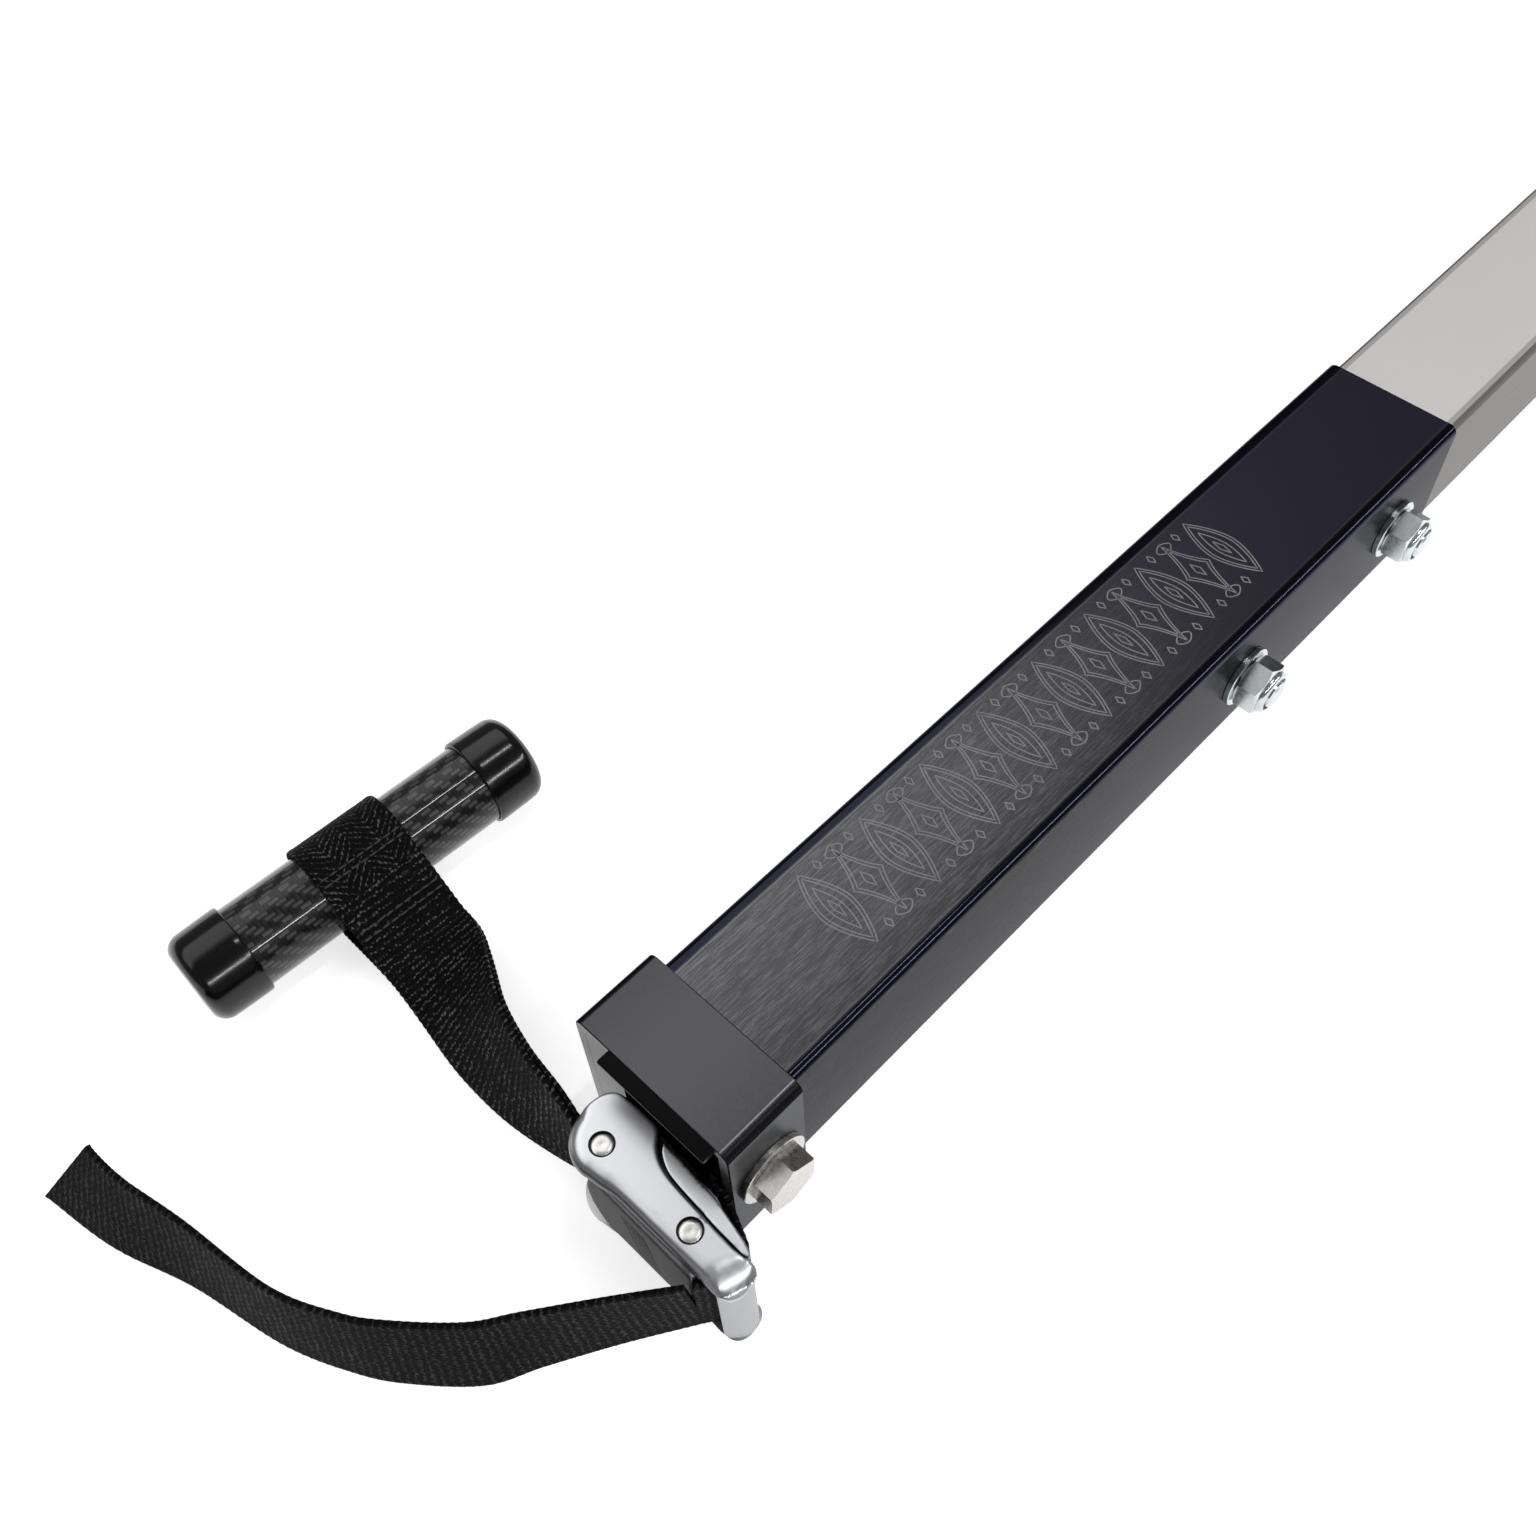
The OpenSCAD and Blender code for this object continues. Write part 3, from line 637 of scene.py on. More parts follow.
LAYER = STRAP_T / 2 + 0.02
run_a = mid + LAYER * mid_through
run_b = mid - LAYER * mid_through

# Round the handle's tube, in the plane across its axis, and round the fixed bar
loop_r = 11.2 + 0.3 + STRAP_T / 2
loop = [GRIP_C - GRIP_AXIS + y * GRIP_SIDE + z * UP for y, z in arc(0, 0, loop_r, 128, -113, 69)]
eye = [(x, y, STRAP_Z) for x, y in arc(*PINS[0], 2.45 + 0.3 + STRAP_T / 2, 388, 152, 39)]

sling_path = np.array([*run_a[::-1], *loop, *run_b, *eye])
sling_wides = np.array([*mid_wide[::-1], *[GRIP_AXIS] * len(loop), *mid_wide, *[UP] * len(eye)])
joined, _ = even_steps(np.hstack([sling_path, sling_wides]), 0.42)
line = joined[:, :3]
# The turns where the runs meet the handle's loop and the eye
ease(line, 12)
sling_t = headings(line)
sling_w = unit_rows(joined[:, 3:])
ease(sling_w, 20)
sling_w = unit_rows(sling_w - np.sum(sling_w * sling_t, axis=1, keepdims=True) * sling_t)
on_handle = run_along(line)[np.hypot(line[:, 1] - GRIP_C[1], line[:, 2] - GRIP_C[2]) < loop_r + 1.2]
sling_out = np.cross(sling_t, sling_w)
sling = strap_mesh("sling_webbing_loop", line, sling_w, sling_out, WEBBING, relief=0.085,
                   slant=(on_handle[0], on_handle[-1]))
fit([sling], "sling", "webbing", "sling_eye", "sling_webbing", "sling_grip_loop")


# Two double rows of sewn stitches: on the handle's top and where the webbing leaves it
verts, faces = [], []
for y, z in ((103.6, 24.9), (101.9, 24.3), (92.6, 13.0), (90.9, 12.3)):
    near = int(np.argmin(np.hypot(line[:, 1] - y, line[:, 2] - z)))
    out = sling_out[near] * np.sign((line[near] - GRIP_C) @ sling_out[near])
    middle = line[near] + (STRAP_T / 2 + 0.05) * out
    for k in range(9):
        base = len(verts)
        for u in np.linspace(0, 1, 9):
            hump = math.sin(math.pi * u)
            at = middle + (2.6 * k - 11.6 + 2.4 * u) * sling_w[near] + (0.1 * hump - 0.02) * out
            r = 0.27 * max(hump, 0.05) ** 0.4
            for a in np.arange(8) * math.pi / 4:
                verts.append((at + r * (math.cos(a) * out + math.sin(a) * sling_t[near])) * MM)
        faces += [tuple(base + i for i in f) for f in ring_faces(9, 8) + caps(8, 72)]
fit([make_object("sling_stitching", verts, faces, THREAD)], "sling", "webbing")

# ---- Square tubes ----


def square_loop(w, r):
    half = w / 2 - r
    points = []
    for cx, cy, a in ((half, half, 0), (-half, half, 90), (-half, -half, 180), (half, -half, 270)):
        points += arc(cx, cy, r, a, a + 90)
    return np.array(points)


def face_material(made, material, direction, least=0.9):
    """Gives the faces that look along direction a second material."""
    made.data.materials.append(material)
    for face in made.data.polygons:
        if face.normal.dot(Vector(direction)) > least:
            face.material_index = len(made.data.materials) - 1


def square_tube(name, x0, x1, w, wall, r, inner_r, material, chamfer, floor=None):
    """A length of square tube along X with eased ends. floor closes the far end."""
    inner_w = w - 2 * wall
    far = x1 if floor is None else x1 - floor
    rings = [(far - chamfer * (floor is None), inner_w, inner_r), (x0 + chamfer, inner_w, inner_r),
             (x0, inner_w + chamfer, inner_r + chamfer / 2), (x0, w - 2 * chamfer, r - chamfer),
             (x0 + chamfer, w, r), (x1 - chamfer, w, r), (x1, w - 2 * chamfer, r - chamfer)]
    if floor is None:
        rings.append((x1, inner_w + chamfer, inner_r + chamfer / 2))
    verts = []
    for x, width, radius in rings:
        verts += [(x * MM, p[0] * MM, (AXIS_Z + p[1]) * MM) for p in square_loop(width, radius)]
    n = len(square_loop(w, r))
    faces = ring_faces(len(rings), n, closed=floor is None)
    if floor is not None:
        faces += caps(n, len(verts))
    return make_object(name, verts, faces, material, 24)


sleeve = square_tube("sleeve", -8, 272, SLEEVE_W, 1.5, 2.5, 1.0, SLEEVE, 0.3)
inner = square_tube("slide_tube", 160, 584.9, 36.8, 1.5, 1.6, 0.6, SILVER, 0.3)
collar = square_tube("mouth_collar", -11, 11, COLLAR_W, 2.95, 3, 0.6, COLLAR, 0.25)
boot = square_tube("far_boot", 557, 589, COLLAR_W, 4.55, 3, 1.6, BOOT, 1.2, floor=4)
collar_web = prism("mouth_web", [(-11, 10), (-8.1, 10), (-8.1, 20.06), (-11, 20.06)], 2.95, 43.05,
                   COLLAR)
for piece in (collar, collar_web):
    face_material(piece, MACHINED, (-1, 0, 0))
# Painted light: the collar's two flat sides take the lighter copy of its black
for direction in ((0, -1, 0), (0, 1, 0)):
    face_material(collar, LIT_COLLAR_SIDE, direction, 0.98)
fit([sleeve], "bar", "black_anodised", "outer_sleeve")
fit([inner], "bar", "silver_anodised", "inner_tube")
fit([collar, collar_web], "bar", "black_collar", "end_collar")
fit([boot], "bar", "rubber", "end_boot")


block = add_bevel(prism("mouth_block", [(18, 41.4), (18, 5), (-7.9, 5), (-7.9, 41.4)], -16.4, 14,
                        BLOCK, axis=1), 0.7, 40)
lip = ([(-11, 44.4), (-11, 45.9)] + arc(-13.8, 45.3, 0.6, 90, 180, 5)
       + arc(-13.8, 45.0, 0.6, 180, 270, 5))
strip = add_bevel(prism("mouth_edge_strip", lip, -19.5, 12.1, STRIP, axis=1), 0.15, 40)
fit([block], "bar", "black_nylon", "anchor_block")
fit([strip], "bar", "black_nylon", "edge_strip")

# ---- Fasteners ----


FLATS = 13.0


def hex_radius(a):
    third = math.radians(60)
    return FLATS / 2 / math.cos((a + third / 2) % third - third / 2)


def hex_body(name, place, height, material, top=1.0, base=False, bore=0.0, dish=0.0, turn=0.0,
             rim_in=0.15):
    """A hexagon with conical chamfers, as rings of points round its axis."""
    slope = math.tan(math.radians(30))
    rim = FLATS / 2 - rim_in
    levels = []

    def ring(z, r_of):
        """A ring at height z, or at what z gives for each radius."""
        radii = [r_of(2 * math.pi * k / 144) for k in range(144)]
        levels.append([(r, z(r) if callable(z) else z) for r in radii])

    if base:
        ring(0.0, lambda a: rim)
        ring(lambda r: (r - rim) * slope, hex_radius)
    else:
        ring(0.0, lambda a: hex_radius(a) - 0.12)
        ring(0.12, hex_radius)
    ring(lambda r: height - max(r - rim, 0.05) * slope * top, hex_radius)
    ring(height, lambda a: min(rim, hex_radius(a) - 0.05))
    if dish:
        ring(height, lambda a: FLATS / 2 - 1.2)
        ring(height - dish, lambda a: FLATS / 2 - 2.0)
    ring(height - dish, lambda a: bore / 2 or 0.4)
    if bore:
        ring(0.0, lambda a: bore / 2)
    return spun(name, levels, place, material, 22, bool(bore), turn)


def on_side(x, y, side):
    """Places +Z outwards from the bar's side: -1 is the right."""
    return (Matrix.Translation((x * MM, side * y * MM, AXIS_Z * MM))
            @ Matrix.Rotation(math.radians(-90 * side), 4, "X"))


def washer(name, place, d, t, material):
    r, bore, e = d / 2, 4.2, 0.18
    profile = [(bore, e), (bore + e, 0), (r - e, 0), (r, e), (r, t - e), (r - e, t),
               (bore + e, t), (bore, t - e)]
    return lathe(name, profile, place, material, closed=True)


def threaded_end(name, place, z0, z1, material):
    """An M8 bolt's threaded end: rings of crests and roots, then a chamfer."""
    r, pitch = 4.0, 1.25
    profile = [(r - 0.7, z0)]
    z = z0
    while z + pitch < z1 - 0.5:
        profile += [(r - 0.72, z), (r - 0.05, z + pitch * 0.45), (r - 0.05, z + pitch * 0.6)]
        z += pitch
    profile += [(r - 0.3, z1 - 0.5), (r - 1.0, z1 - 0.02), (r - 1.4, z1)]
    return lathe(name, profile, place, material, 64, 24)


CROWN = [(4.9, 6.3), (5.95, 6.3), (6.0, 6.9), (5.75, 7.5), (5.2, 7.95), (4.75, 8.0), (4.6, 7.7)]
INSERT = [(4.02, 6.5), (4.9, 6.5), (4.85, 7.35), (4.5, 7.5), (4.05, 7.45)]
WASHER_T = 1.6
anchor = on_side(0, COLLAR_W / 2 + WASHER_T, -1)
fit([hex_body("anchor_head", anchor, 5.3, STAINLESS, top=1.1, dish=0.12, turn=-3, rim_in=-0.55),
     lathe("anchor_shank", [(4.0, 0.4), (4.0, -26.0), (3.2, -28.0)], anchor, STAINLESS)],
    "bar", "stainless", "anchor_bolt")
fit([washer("anchor_washer_right", on_side(0, COLLAR_W / 2, -1), 18.4, WASHER_T, STAINLESS)],
    "bar", "stainless", "anchor_washer")
fit([lathe("anchor_insert_brass", [(4.05, 0), (6, 0), (6, 20), (4.05, 20)], on_side(0, -3.6, -1),
           STAINLESS, closed=True)], "bar", "stainless", "anchor_insert")

for index, (x, turn) in enumerate(((178, 2), (248, -4))):
    tag = str(index + 1)
    left = on_side(x, SLEEVE_W / 2, 1)
    right = on_side(x, SLEEVE_W / 2 + WASHER_T, -1)
    fit([hex_body("clamp_head_" + tag, left, 5.3, ZINC, top=1.1, dish=0.25, turn=turn),
         lathe("clamp_shank_" + tag, [(4.0, 0.4), (4.0, -40.5)], left, ZINC),
         threaded_end("clamp_thread_" + tag, right, -1.0, 8.9, ZINC)],
        "bar", "zinc_plate", "clamp_bolts")
    fit([washer("clamp_washer_" + tag, on_side(x, SLEEVE_W / 2, -1), 17, WASHER_T, ZINC)],
        "bar", "zinc_plate", "clamp_washers")
    nut = "clamp_lock_nut_" + tag
    fit([hex_body(nut, right, 6.4, ZINC, base=True, bore=8.1, turn=turn),
         lathe(nut + "_crown", CROWN, right, ZINC, 96, 40, closed=True),
         lathe(nut + "_insert", INSERT, right, NUT_RING, 72, 40, closed=True)],
        "bar", "zinc_plate", "clamp_nuts")
    fit([lathe("crush_tube_" + tag, [(4.2, -33.7), (6, -33.7), (6, 0), (4.2, 0)],
               on_side(x, 16.85, 1), SILVER, closed=True)], "bar", "silver_anodised", "crush_tubes")

# ---- Buckle ----


def distance_to_loop(points, loop):
    """Shortest distance from each point to a closed outline."""
    best = np.full(len(points), 1e9)
    for start, step in zip(loop, np.roll(loop, -1, 0) - loop):
        w = points - start
        t = np.clip((w @ step) / max(float(step @ step), 1e-12), 0, 1)
        best = np.minimum(best, np.linalg.norm(w - t[:, None] * step, axis=1))
    return best


def inside_loop(points, loop):
    x, y = points.T
    hit = np.zeros(len(points), bool)
    for (x0, y0), (x1, y1) in zip(loop, np.roll(loop, -1, 0)):
        cross = (y < y0) != (y < y1)
        if cross.any():
            hit ^= cross & (x < x0 + (y - y0) * (x1 - x0) / (y1 - y0))
    return hit


def rolled_points(loop, r, rings):
    """An outline and the rings of points on its rolled edge, up to r inside it."""
    area = np.sum(loop[:, 0] * np.roll(loop[:, 1], -1) - np.roll(loop[:, 0], -1) * loop[:, 1])
    inward = to_the_left(loop) * (1 if area > 0 else -1)
    points = [loop]
    for k in range(1, rings + 1):
        d = r * (1 - math.cos(math.radians(90 * k / rings)))
        ring = loop + d * inward
        points.append(ring[inside_loop(ring, loop) & (distance_to_loop(ring, loop) > 0.93 * d)])
    return points


def grid_inside(loop, steps, shift, margin):
    """A grid of points more than margin inside an outline."""
    gx, gy = np.meshgrid(*(np.arange(*ends) for ends in zip(loop.min(0), loop.max(0), steps)))
    grid = np.stack([gx.ravel(), gy.ravel()], axis=1) + shift
    return grid[inside_loop(grid, loop) & (distance_to_loop(grid, loop) > margin)]


def fill(parts, rims=()):
    """Joins arrays of points by triangles. The steps round the first part and round each
    rim stay edges."""
    edges = []
    start = sum(map(len, parts))
    firsts = [(0, len(parts[0]))]
    for rim in rims:
        firsts.append((start, len(rim)))
        start += len(rim)
    for first, n in firsts:
        edges += [(first + k, first + (k + 1) % n) for k in range(n)]
    flat = [Vector(p) for p in np.concatenate([*parts, *rims])]
    verts, _, faces, *_ = delaunay_2d_cdt(flat, edges, [], 1, 1e-5)
    return np.array([tuple(v) for v in verts]), [tuple(f) for f in faces]


def shell(name, front, back, tris, material, sharp):
    """A closed skin: the same triangles on a front and a back, joined round their rims."""
    m = len(front)
    steps = dict.fromkeys(step for f in tris for step in zip(f, f[1:] + f[:1]))
    skin = tris + [tuple(i + m for i in reversed(f)) for f in tris]
    skin += [(a, a + m, b + m, b) for a, b in steps if (b, a) not in steps]
    return make_object(name, np.concatenate([front, back]) * MM, skin, material, sharp)


def pillow_plate(name, loop, z_low, z_high, r, rise, drop=lambda x, y: 0, step=0.8, holes=(),
                 crisp=lambda x, y: 1):
    """A cast plate: a smooth outline whose top edge rolls over to the side. r is how far
    in the roll reaches and rise how far down it goes. drop lowers the top further, and
    crisp says what share of the roll a place keeps."""
    grid = grid_inside(loop, (step, step), (0.11, 0.07), r + 0.25 * step)
    for cx, cy, hole_r in holes:
        grid = grid[np.hypot(grid[:, 0] - cx, grid[:, 1] - cy) > hole_r + 0.5 * step]
    at, tris = fill([*rolled_points(loop, r, 7), grid],
                    [np.array(arc(*hole, 0, 360, 40)[:-1]) for hole in holes])
    tris = [f for f in tris
            if not any(np.hypot(*(at[list(f)].mean(0) - (cx, cy))) < hr for cx, cy, hr in holes)]
    share = crisp(*at.T)
    reach = r * share
    d = np.minimum(distance_to_loop(at, loop), reach)
    z = z_high - rise * share * (1 - np.sqrt(np.clip(1 - ((reach - d) / reach) ** 2, 0, 1)))
    z = np.maximum(z - drop(*at.T), z_low + 0.2)
    return shell(name, np.column_stack([at, z]), np.column_stack([at, np.full(len(at), z_low)]),
                 tris, CAST, 42)


# Main plate seen from above: round head over the fixed bar, waist beside the bar's
# mouth, straight outer side and blunt nose
plate_points = ([(-13.2, 8.2), (-14.6, 10.0), (-17.2, 11.1)]
                + arc(-21.4, 2.6, 8.9, 84, 196, 9)[1:]
                + [(-29.6, -2.6), (-28.9, -6.6), (-28.75, -12), (-28.7, -18), (-28.6, -25),
                   (-28.5, -31), (-28.6, -35.5), (-28.0, -38.6), (-26.2, -40.1), (-23.4, -40.3),
                   (-20.8, -39.7), (-19.3, -38.2), (-19.2, -36.4), (-19.95, -34), (-19.85, -28),
                   (-19.4, -22), (-19.05, -16.4), (-18.6, -12.3), (-17.6, -9.0), (-16.0, -6.5),
                   (-14.2, -4.9), (-12.9, -3.2), (-12.6, 0), (-12.7, 5)])
cheek_points = [(-14.4, -6.9), (-14.3, -11.6), (-14.8, -17.5), (-15.3, -22.9), (-16.1, -27),
                (-17.0, -31.3), (-17.8, -34.4), (-18.7, -36.0), (-19.6, -35.3), (-19.62, -32),
                (-19.5, -27), (-19.1, -21.5), (-18.75, -16), (-18.3, -12.4), (-17.45, -9.9),
                (-16.2, -7.8), (-15.1, -6.9)]
NOSE_Y, NOSE_R = -31.6, 9.3


def nose_drop(x, y):
    """The plate's end rolls down over the nose."""
    slant = -0.32 * (x + 24)
    s = np.clip(NOSE_Y + slant - y, 0, NOSE_R - 0.5)
    return (NOSE_R - np.sqrt(NOSE_R ** 2 - s ** 2)) * 0.8


def crisp_waist(x, y):
    """The edge is rolled less along the groove, beside the bar's mouth and at the nose."""
    inner = np.clip((x + 22.5) / 2.5, 0, 1) * np.clip((y + 37) / 2, 0, 1)
    nose = np.clip((-33 - y) / 3, 0, 1)
    return (1 - 0.8 * inner) * (1 - 0.45 * nose)


PIN_RIM = 2.92


def flipped(made, name):
    """A copy mirrored to the buckle's other side."""
    mesh = made.data.copy()
    mesh.transform(Matrix.Translation((0, 0, BUCKLE_H * MM)) @ Matrix.Scale(-1, 4, (0, 0, 1)))
    mesh.flip_normals()
    copy = bpy.data.objects.new(name, mesh)
    scene.collection.objects.link(copy)
    return copy


rims = [(x, y, PIN_RIM) for x, y in PINS]
upper = pillow_plate("buckle_plate_upper", smooth_loop(plate_points), 30.5, BUCKLE_H, 3.1, 3.1,
                     nose_drop, 0.7, rims, crisp_waist)
cheek = pillow_plate("buckle_cheek_upper", smooth_loop(cheek_points), 30.6, 33.7, 0.45, 0.5,
                     step=0.5)
buckle_pieces = [upper, cheek, flipped(upper, "buckle_plate_lower"),
                 flipped(cheek, "buckle_cheek_lower")]
# Web that joins plate and cheek under the groove, painted dark as shade
web_points = [(-14.8, -7), (-14.7, -12), (-15.3, -20), (-16.6, -28), (-18.6, -35), (-21, -35),
              (-21, -20), (-20, -10), (-17, -6)]
web = prism("buckle_web_upper", smooth_loop(web_points, 3), 30.55, 31.2, RECESS)
back_points = ([(-14.2, -6.8), (-14.3, -22)] + arc(-16.75, -27.4, 0.55, 10, -180, 8)
               + [(-16.8, -22), (-16.8, -8)])
nose_points = arc(-24, -35.6, 4.7, 185, 325, 14) + [(-19.9, -35.6), (-22, -35.3), (-26, -35.3)]
# The back and nose walls take the darker copy of the cast finish, painted as shade
buckle_pieces += [web, flipped(web, "buckle_web_lower"),
                  prism("buckle_back_wall", back_points, 3.4, 30.6, SHADED_CAST_WALL),
                  add_bevel(prism("buckle_nose_wall", nose_points, 3.2, 30.8, SHADED_CAST_WALL), 0.5)]
fit(buckle_pieces, "buckle", "cast_silver", "buckle_frame")

# Pins with recessed, peened heads
for (x, y), node in zip(PINS, ("fixed_bar", "cam_pin")):
    place = Matrix.Translation((x * MM, y * MM, 0))
    head_top = [(2.4, 32.7), (2.5, 33.15), (2.42, 33.5), (2.1, 33.72), (1.3, 33.78), (0.5, 33.7),
                (0.2, 33.68)]
    profile = [(r, BUCKLE_H - z) for r, z in head_top[::-1]] + head_top
    pin = lathe(node + "_steel", profile, place, PIN, 64, 40)
    seats = [lathe(node + tag, [(2.5, low), (PIN_RIM + 0.02, low), (PIN_RIM + 0.02, low + 1.9),
                                (2.5, low + 1.9)], place, RECESS, 64, closed=True)
             for tag, low in (("_seat", 1.3), ("_seat_upper", 30.8))]
    fit([pin], "buckle", "pin_steel", node)
    fit(seats, "buckle", "cast_silver")

# Spring: a coil round the cam's pin
SPRING_R, WIRE_R = 3.2, 0.42
spring_path = np.array([(x, y, 14.9 + 4.4 * i / 159)
                        for i, (x, y) in enumerate(arc(0, 0, SPRING_R, 0, 4 * 360, 159))])
spring_verts = []
for at, t in zip(spring_path, headings(spring_path)):
    out = np.array([at[0], at[1], 0]) / SPRING_R
    up = np.cross(out, t)
    for a in 2 * math.pi * np.arange(10) / 10:
        spring_verts.append((at + WIRE_R * (math.cos(a) * out + math.sin(a) * up)
                             + (*PINS[1], 0)) * MM)
spring = make_object("cam_coil", spring_verts, ring_faces(160, 10) + caps(10, 1600), PIN, 40)
fit([spring], "buckle", "pin_steel", "cam_spring")

# ---- Cam lever ----

CAM = PINS[1]
PAD_X = -29.7
teeth = [(CAM[0] + r * math.cos(math.radians(a)), CAM[1] + r * math.sin(math.radians(a)))
         for a, r in zip(np.linspace(-94, -58, 11), [8.9, 8.0] * 6)]
cam_outline = (teeth + arc(CAM[0], CAM[1], 5.8, -48, 100, 16)
               + [(-27.6, -16.3), (-28.2, -17), (-28.6, -29.6), (-27, -30)])
cam_body = prism("cam_barrel", cam_outline, 3.9, 30.1, LEVER, 25)
GROOVES = [-10.6 - 1.5 * k for k in range(5)]


def pad_height(y, z):
    """How far the pad's face is cut in by the slanting finger grooves."""
    along = (z - 17) / 9.2
    if abs(along) > 1:
        return 0.0
    fade = min(1.0, (1 - abs(along)) * 5)
    near = min(abs(y - (g + (z - 17) * 0.194)) for g in GROOVES)
    return 0.6 * fade * max(0.0, 1 - (near / 0.5) ** 2)


def pad_mesh():
    """The pad as a shallow shell: a rolled rim, cut corners and a grooved face."""
    outline = smooth_loop([(-29.6, 4.4), (-20, 4.0), (-10, 3.9), (-2, 4.0), (0.8, 6.2), (2.6, 10),
                           (3.4, 14), (3.4, 20), (2.6, 24), (0.8, 27.8), (-2, 30), (-10, 30.1),
                           (-20, 30), (-29.6, 29.6), (-29.9, 24), (-29.9, 10)])
    r = 1.1
    at, tris = fill([*rolled_points(outline, r, 5),
                     grid_inside(outline, (0.26, 0.6), 0.05, r + 0.15)])
    d = np.clip(distance_to_loop(at, outline), 0, r)
    x = PAD_X + 0.8 * (1 - np.sqrt(np.clip(1 - ((r - d) / r) ** 2, 0, 1)))
    x = x + np.array([pad_height(y, z) for y, z in at])
    back = np.interp(at[:, 0], [-29.9, -7, -4, 3.5], [-27.5, -27.5, -28.3, -28.4])
    return shell("lever_pad", np.column_stack([x, at]), np.column_stack([back, at]), tris,
                 LEVER, 40)


fit([cam_body, pad_mesh()], "lever", "lever_grey", "cam_lever")

# ---- Handle ----

grip_place = (Matrix.Translation(Vector(GRIP_C * MM)) @ Matrix.Rotation(GRIP_TURN, 4, "Z")
              @ Matrix.Rotation(math.radians(90), 4, "Y"))
HALF = 49.5
tube_profile = [(9.6, -47.5), *((11.2, h) for h in np.linspace(-47.5, 47.5, 60)), (9.6, 47.5)]
tube = lathe("carbon_handle", tube_profile, grip_place, CARBON, 128, 40, closed=True)
angles = np.tile(np.arange(128) * 2 * math.pi / 128, len(tube_profile))
float_attribute(tube, "along", np.repeat([h + 60 for _, h in tube_profile], 128))
# The lay is mirrored half way round the tube, so that it has no seam
float_attribute(tube, "around", np.minimum(angles, 2 * math.pi - angles) * 11.2 + 40)
fit([tube], "grip", "carbon_tube", "grip_tube")

for side, node in ((-1, "grip_cap_left"), (1, "grip_cap_right")):
    mouth, floor = HALF - 15, HALF - 1.9
    profile = ([(0.3, floor), (11.0, floor), (11.24, floor - 0.4), (11.24, mouth + 0.3),
                (11.4, mouth + 0.05), (11.75, mouth), (12.05, mouth + 0.12), (12.26, mouth + 0.5),
                (12.28, mouth + 2), (12.2, mouth + 7), (12.15, mouth + 9)]
               + arc(7.9, HALF - 4.2, 4.2, 4, 76, 9)
               + [(7.0, HALF - 0.03), (4.0, HALF), (0.3, HALF)])
    place = grip_place if side > 0 else grip_place @ Matrix.Scale(-1, 4, (0, 0, 1))
    fit([lathe(node + "_vinyl", profile, place, CAP, 128, 50)], "grip", "cap_vinyl", node)

# ---- Engraved ornament on the sleeve ----


etch_verts, etch_faces = [], []


def etch(points):
    """Adds a thin raised line along closed points on the sleeve's top."""
    p = np.asarray(points, float)
    side = to_the_left(p) * 0.33 / 2
    rings = [np.column_stack([p + s * side, np.full(len(p), z)])
             for s, z in ((-1, 42.99), (-1, 43.03), (1, 43.03), (1, 42.99))]
    base = sum(map(len, etch_verts))
    etch_verts.append(np.stack(rings, axis=1).reshape(-1, 3) * MM)
    etch_faces.extend(tuple(i + base for i in f) for f in ring_faces(len(p), 4, closed=True))


def leaf(cx, cy, w, h, bend=1.0):
    """A pointed oval: two bowed sides that meet in points above and below."""
    bow = [(w / 2 * (1 - abs(t) ** 1.7) ** bend, cy + h / 2 * t) for t in np.linspace(-1, 1, 26)]
    return [(cx + x, y) for x, y in bow[:-1]] + [(cx - x, y) for x, y in bow[:0:-1]]


def star(cx, cy, w, h):
    """A four-pointed star with hollow sides."""
    points = []
    for a in 2 * math.pi * np.arange(72) / 72:
        x, y = (math.copysign(abs(v) ** (2 / 0.798), v) for v in (math.cos(a), math.sin(a)))
        points.append((cx + w / 2 * x, cy + h / 2 * y))
    return points


def lozenge(cx, cy, w, h):
    corners = [(w / 2, 0), (0, h / 2), (-w / 2, 0), (0, -h / 2)]
    return [(cx + x + (x1 - x) * t / 4, cy + y + (y1 - y) * t / 4)
            for (x, y), (x1, y1) in zip(corners, corners[1:] + corners[:1]) for t in range(4)]


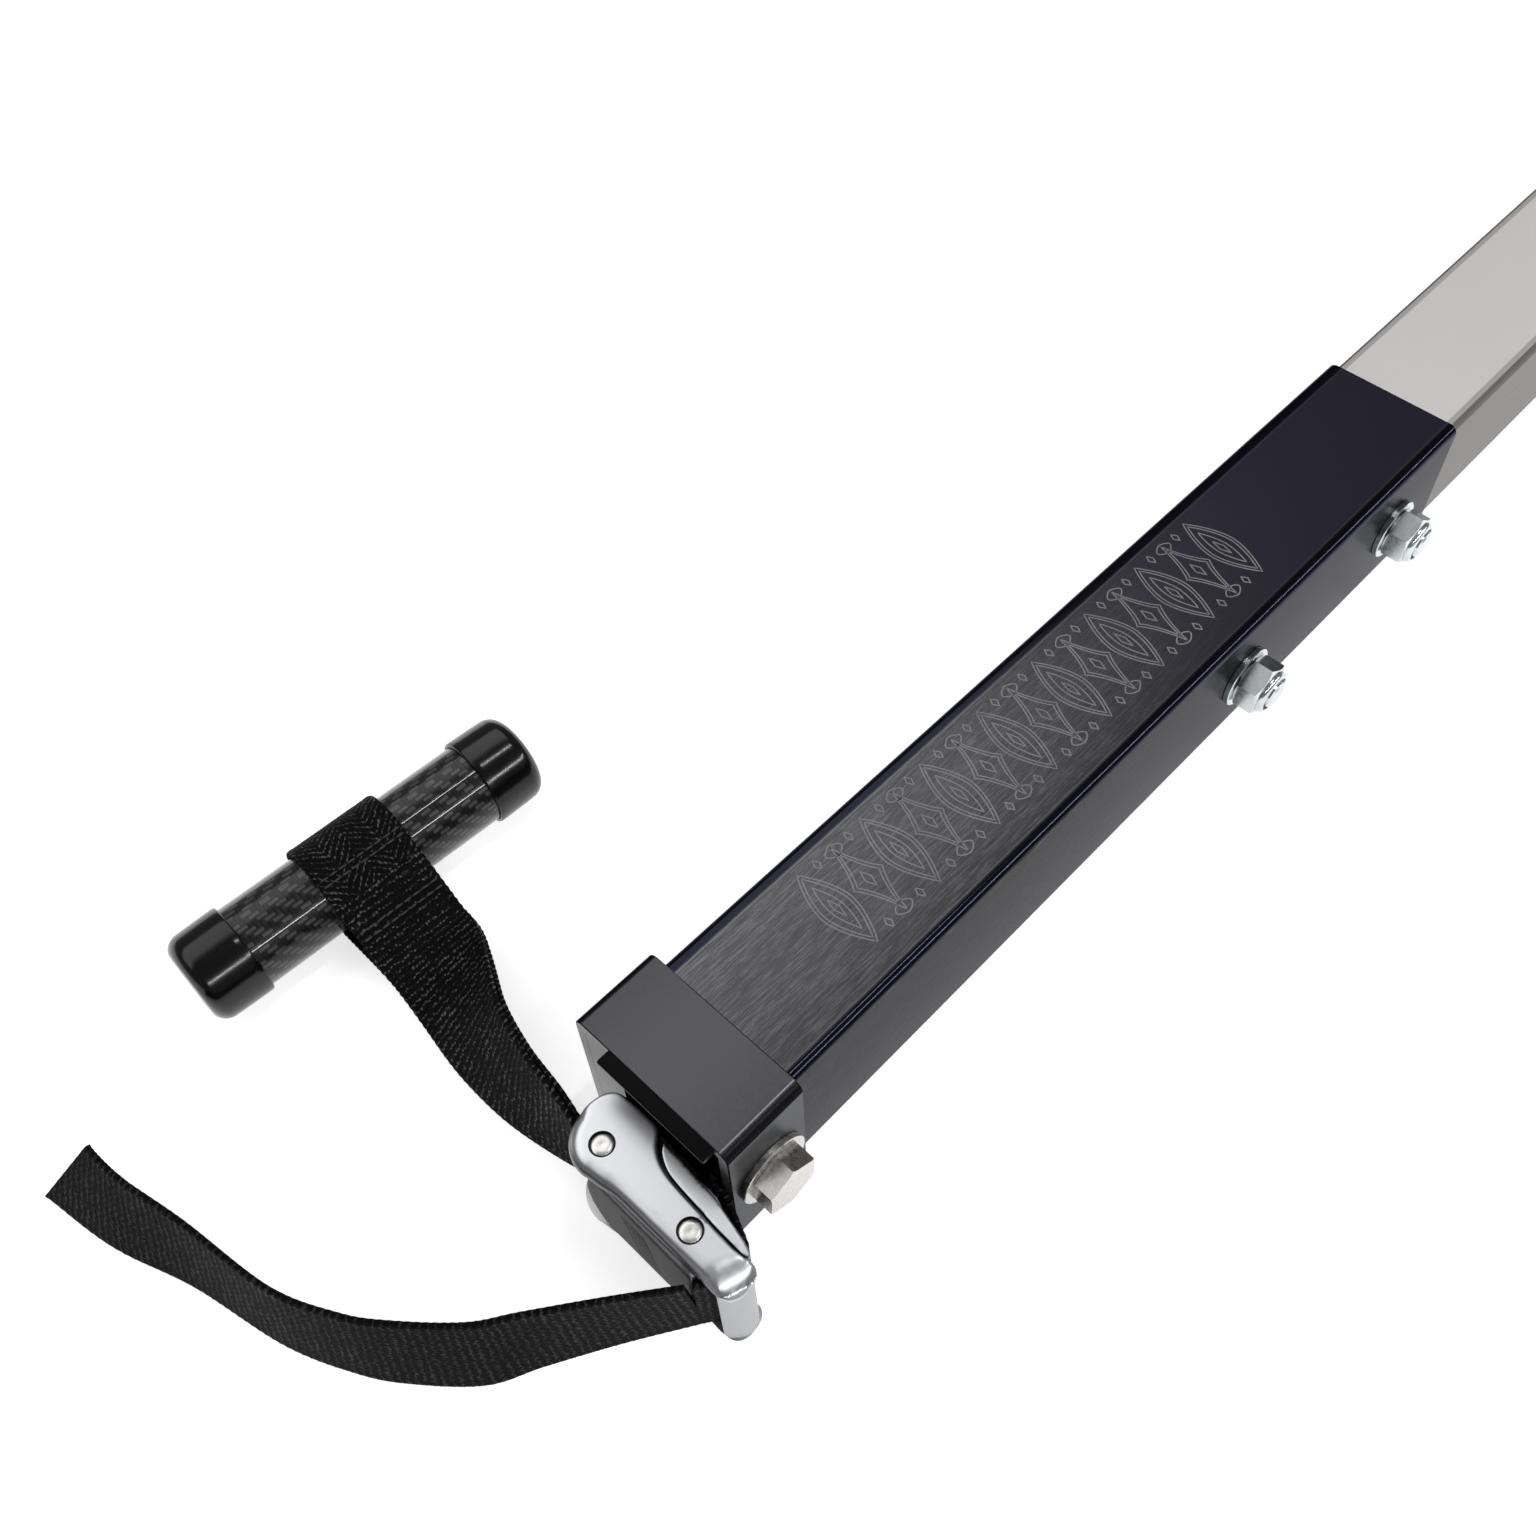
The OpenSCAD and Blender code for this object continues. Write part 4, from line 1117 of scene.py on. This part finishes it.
PITCH, ROW_Y = 10.4, 1.6
for k in range(15):
    cx = 47.5 + PITCH * k
    if k % 2 == 0:
        for w, h in ((9.0, 24.5), (7.2, 21.5), (3.6, 15.0)):
            etch(leaf(cx, ROW_Y, w, h))
        etch(lozenge(cx, ROW_Y, 1.6, 6.0))
    else:
        etch(star(cx, ROW_Y, 9.6, 24.0))
        etch(star(cx, ROW_Y, 7.4, 19.5))
        etch(lozenge(cx, ROW_Y, 2.0, 5.2))
        for sign in (-1, 1):
            etch(leaf(cx, ROW_Y + sign * 10.6, 5.0, 3.4, 0.8))
    if k < 14:
        for sign in (-1, 1):
            etch(lozenge(cx + PITCH / 2, ROW_Y + sign * 10.8, 1.7, 3.0))
etched = make_object("sleeve_ornament", np.concatenate(etch_verts), etch_faces, ETCH, 40)
fit([etched], "bar", "black_anodised")

# ---- Floor and light ----

paper = Nodes("floor")
paper.set(Base_Color=paper.ramp(paper.noise(paper.place(), 3.0), [(0.3, (0.86,) * 3),
                                                                  (0.7, (0.88,) * 3)]),
          Roughness=0.9, Specular_IOR_Level=0.1, Emission_Color=(1, 1, 1, 1), Emission_Strength=0.6)
bpy.ops.mesh.primitive_plane_add(size=60, location=(0.2, 0, -0.0002))
ground = bpy.context.object
ground.name = "floor"
ground.data.materials.append(paper.material)

world = bpy.data.worlds.new("world")
world.use_nodes = True
sky = world.node_tree.nodes["Background"]
sky.inputs["Color"].default_value = (0.93, 0.93, 1.0, 1)
sky.inputs["Strength"].default_value = 0.22
scene.world = world


def softbox(name, at, size, radiance, aim):
    """An area light at a point, in metres, facing aim. radiance is how bright it looks."""
    data = bpy.data.lights.new(name, "AREA")
    data.shape = "RECTANGLE"
    data.size, data.size_y = size
    data.energy = radiance * math.pi * size[0] * size[1]
    made = bpy.data.objects.new(name, data)
    made.location = at
    scene.collection.objects.link(made)
    direction = Vector(aim) - Vector(at)
    # The light's own X stays along the bar
    back = -direction.normalized()
    x_axis = (Vector((1, 0, 0)) - back * back.x).normalized()
    made.rotation_euler = Matrix((x_axis, back.cross(x_axis), back)).transposed().to_euler()


softbox("ceiling", (-0.36, 0.96, 1.2), (2.68, 1.2), 1.5, (-0.36, 0.96, 0))
softbox("front_fill", (-0.1, 0.29, 1.2), (2.1, 0.14), 0.55, (-0.1, 0.29, 0))
softbox("strip_overhead", (0.36, -0.143, 1.2), (0.42, 0.03), 44.0, (0.0, 0.1, 0.0))
softbox("strip_right", (0.2, -0.78, 0.66), (2.2, 0.035), 42.0, (0.1, 0.05, 0.02))
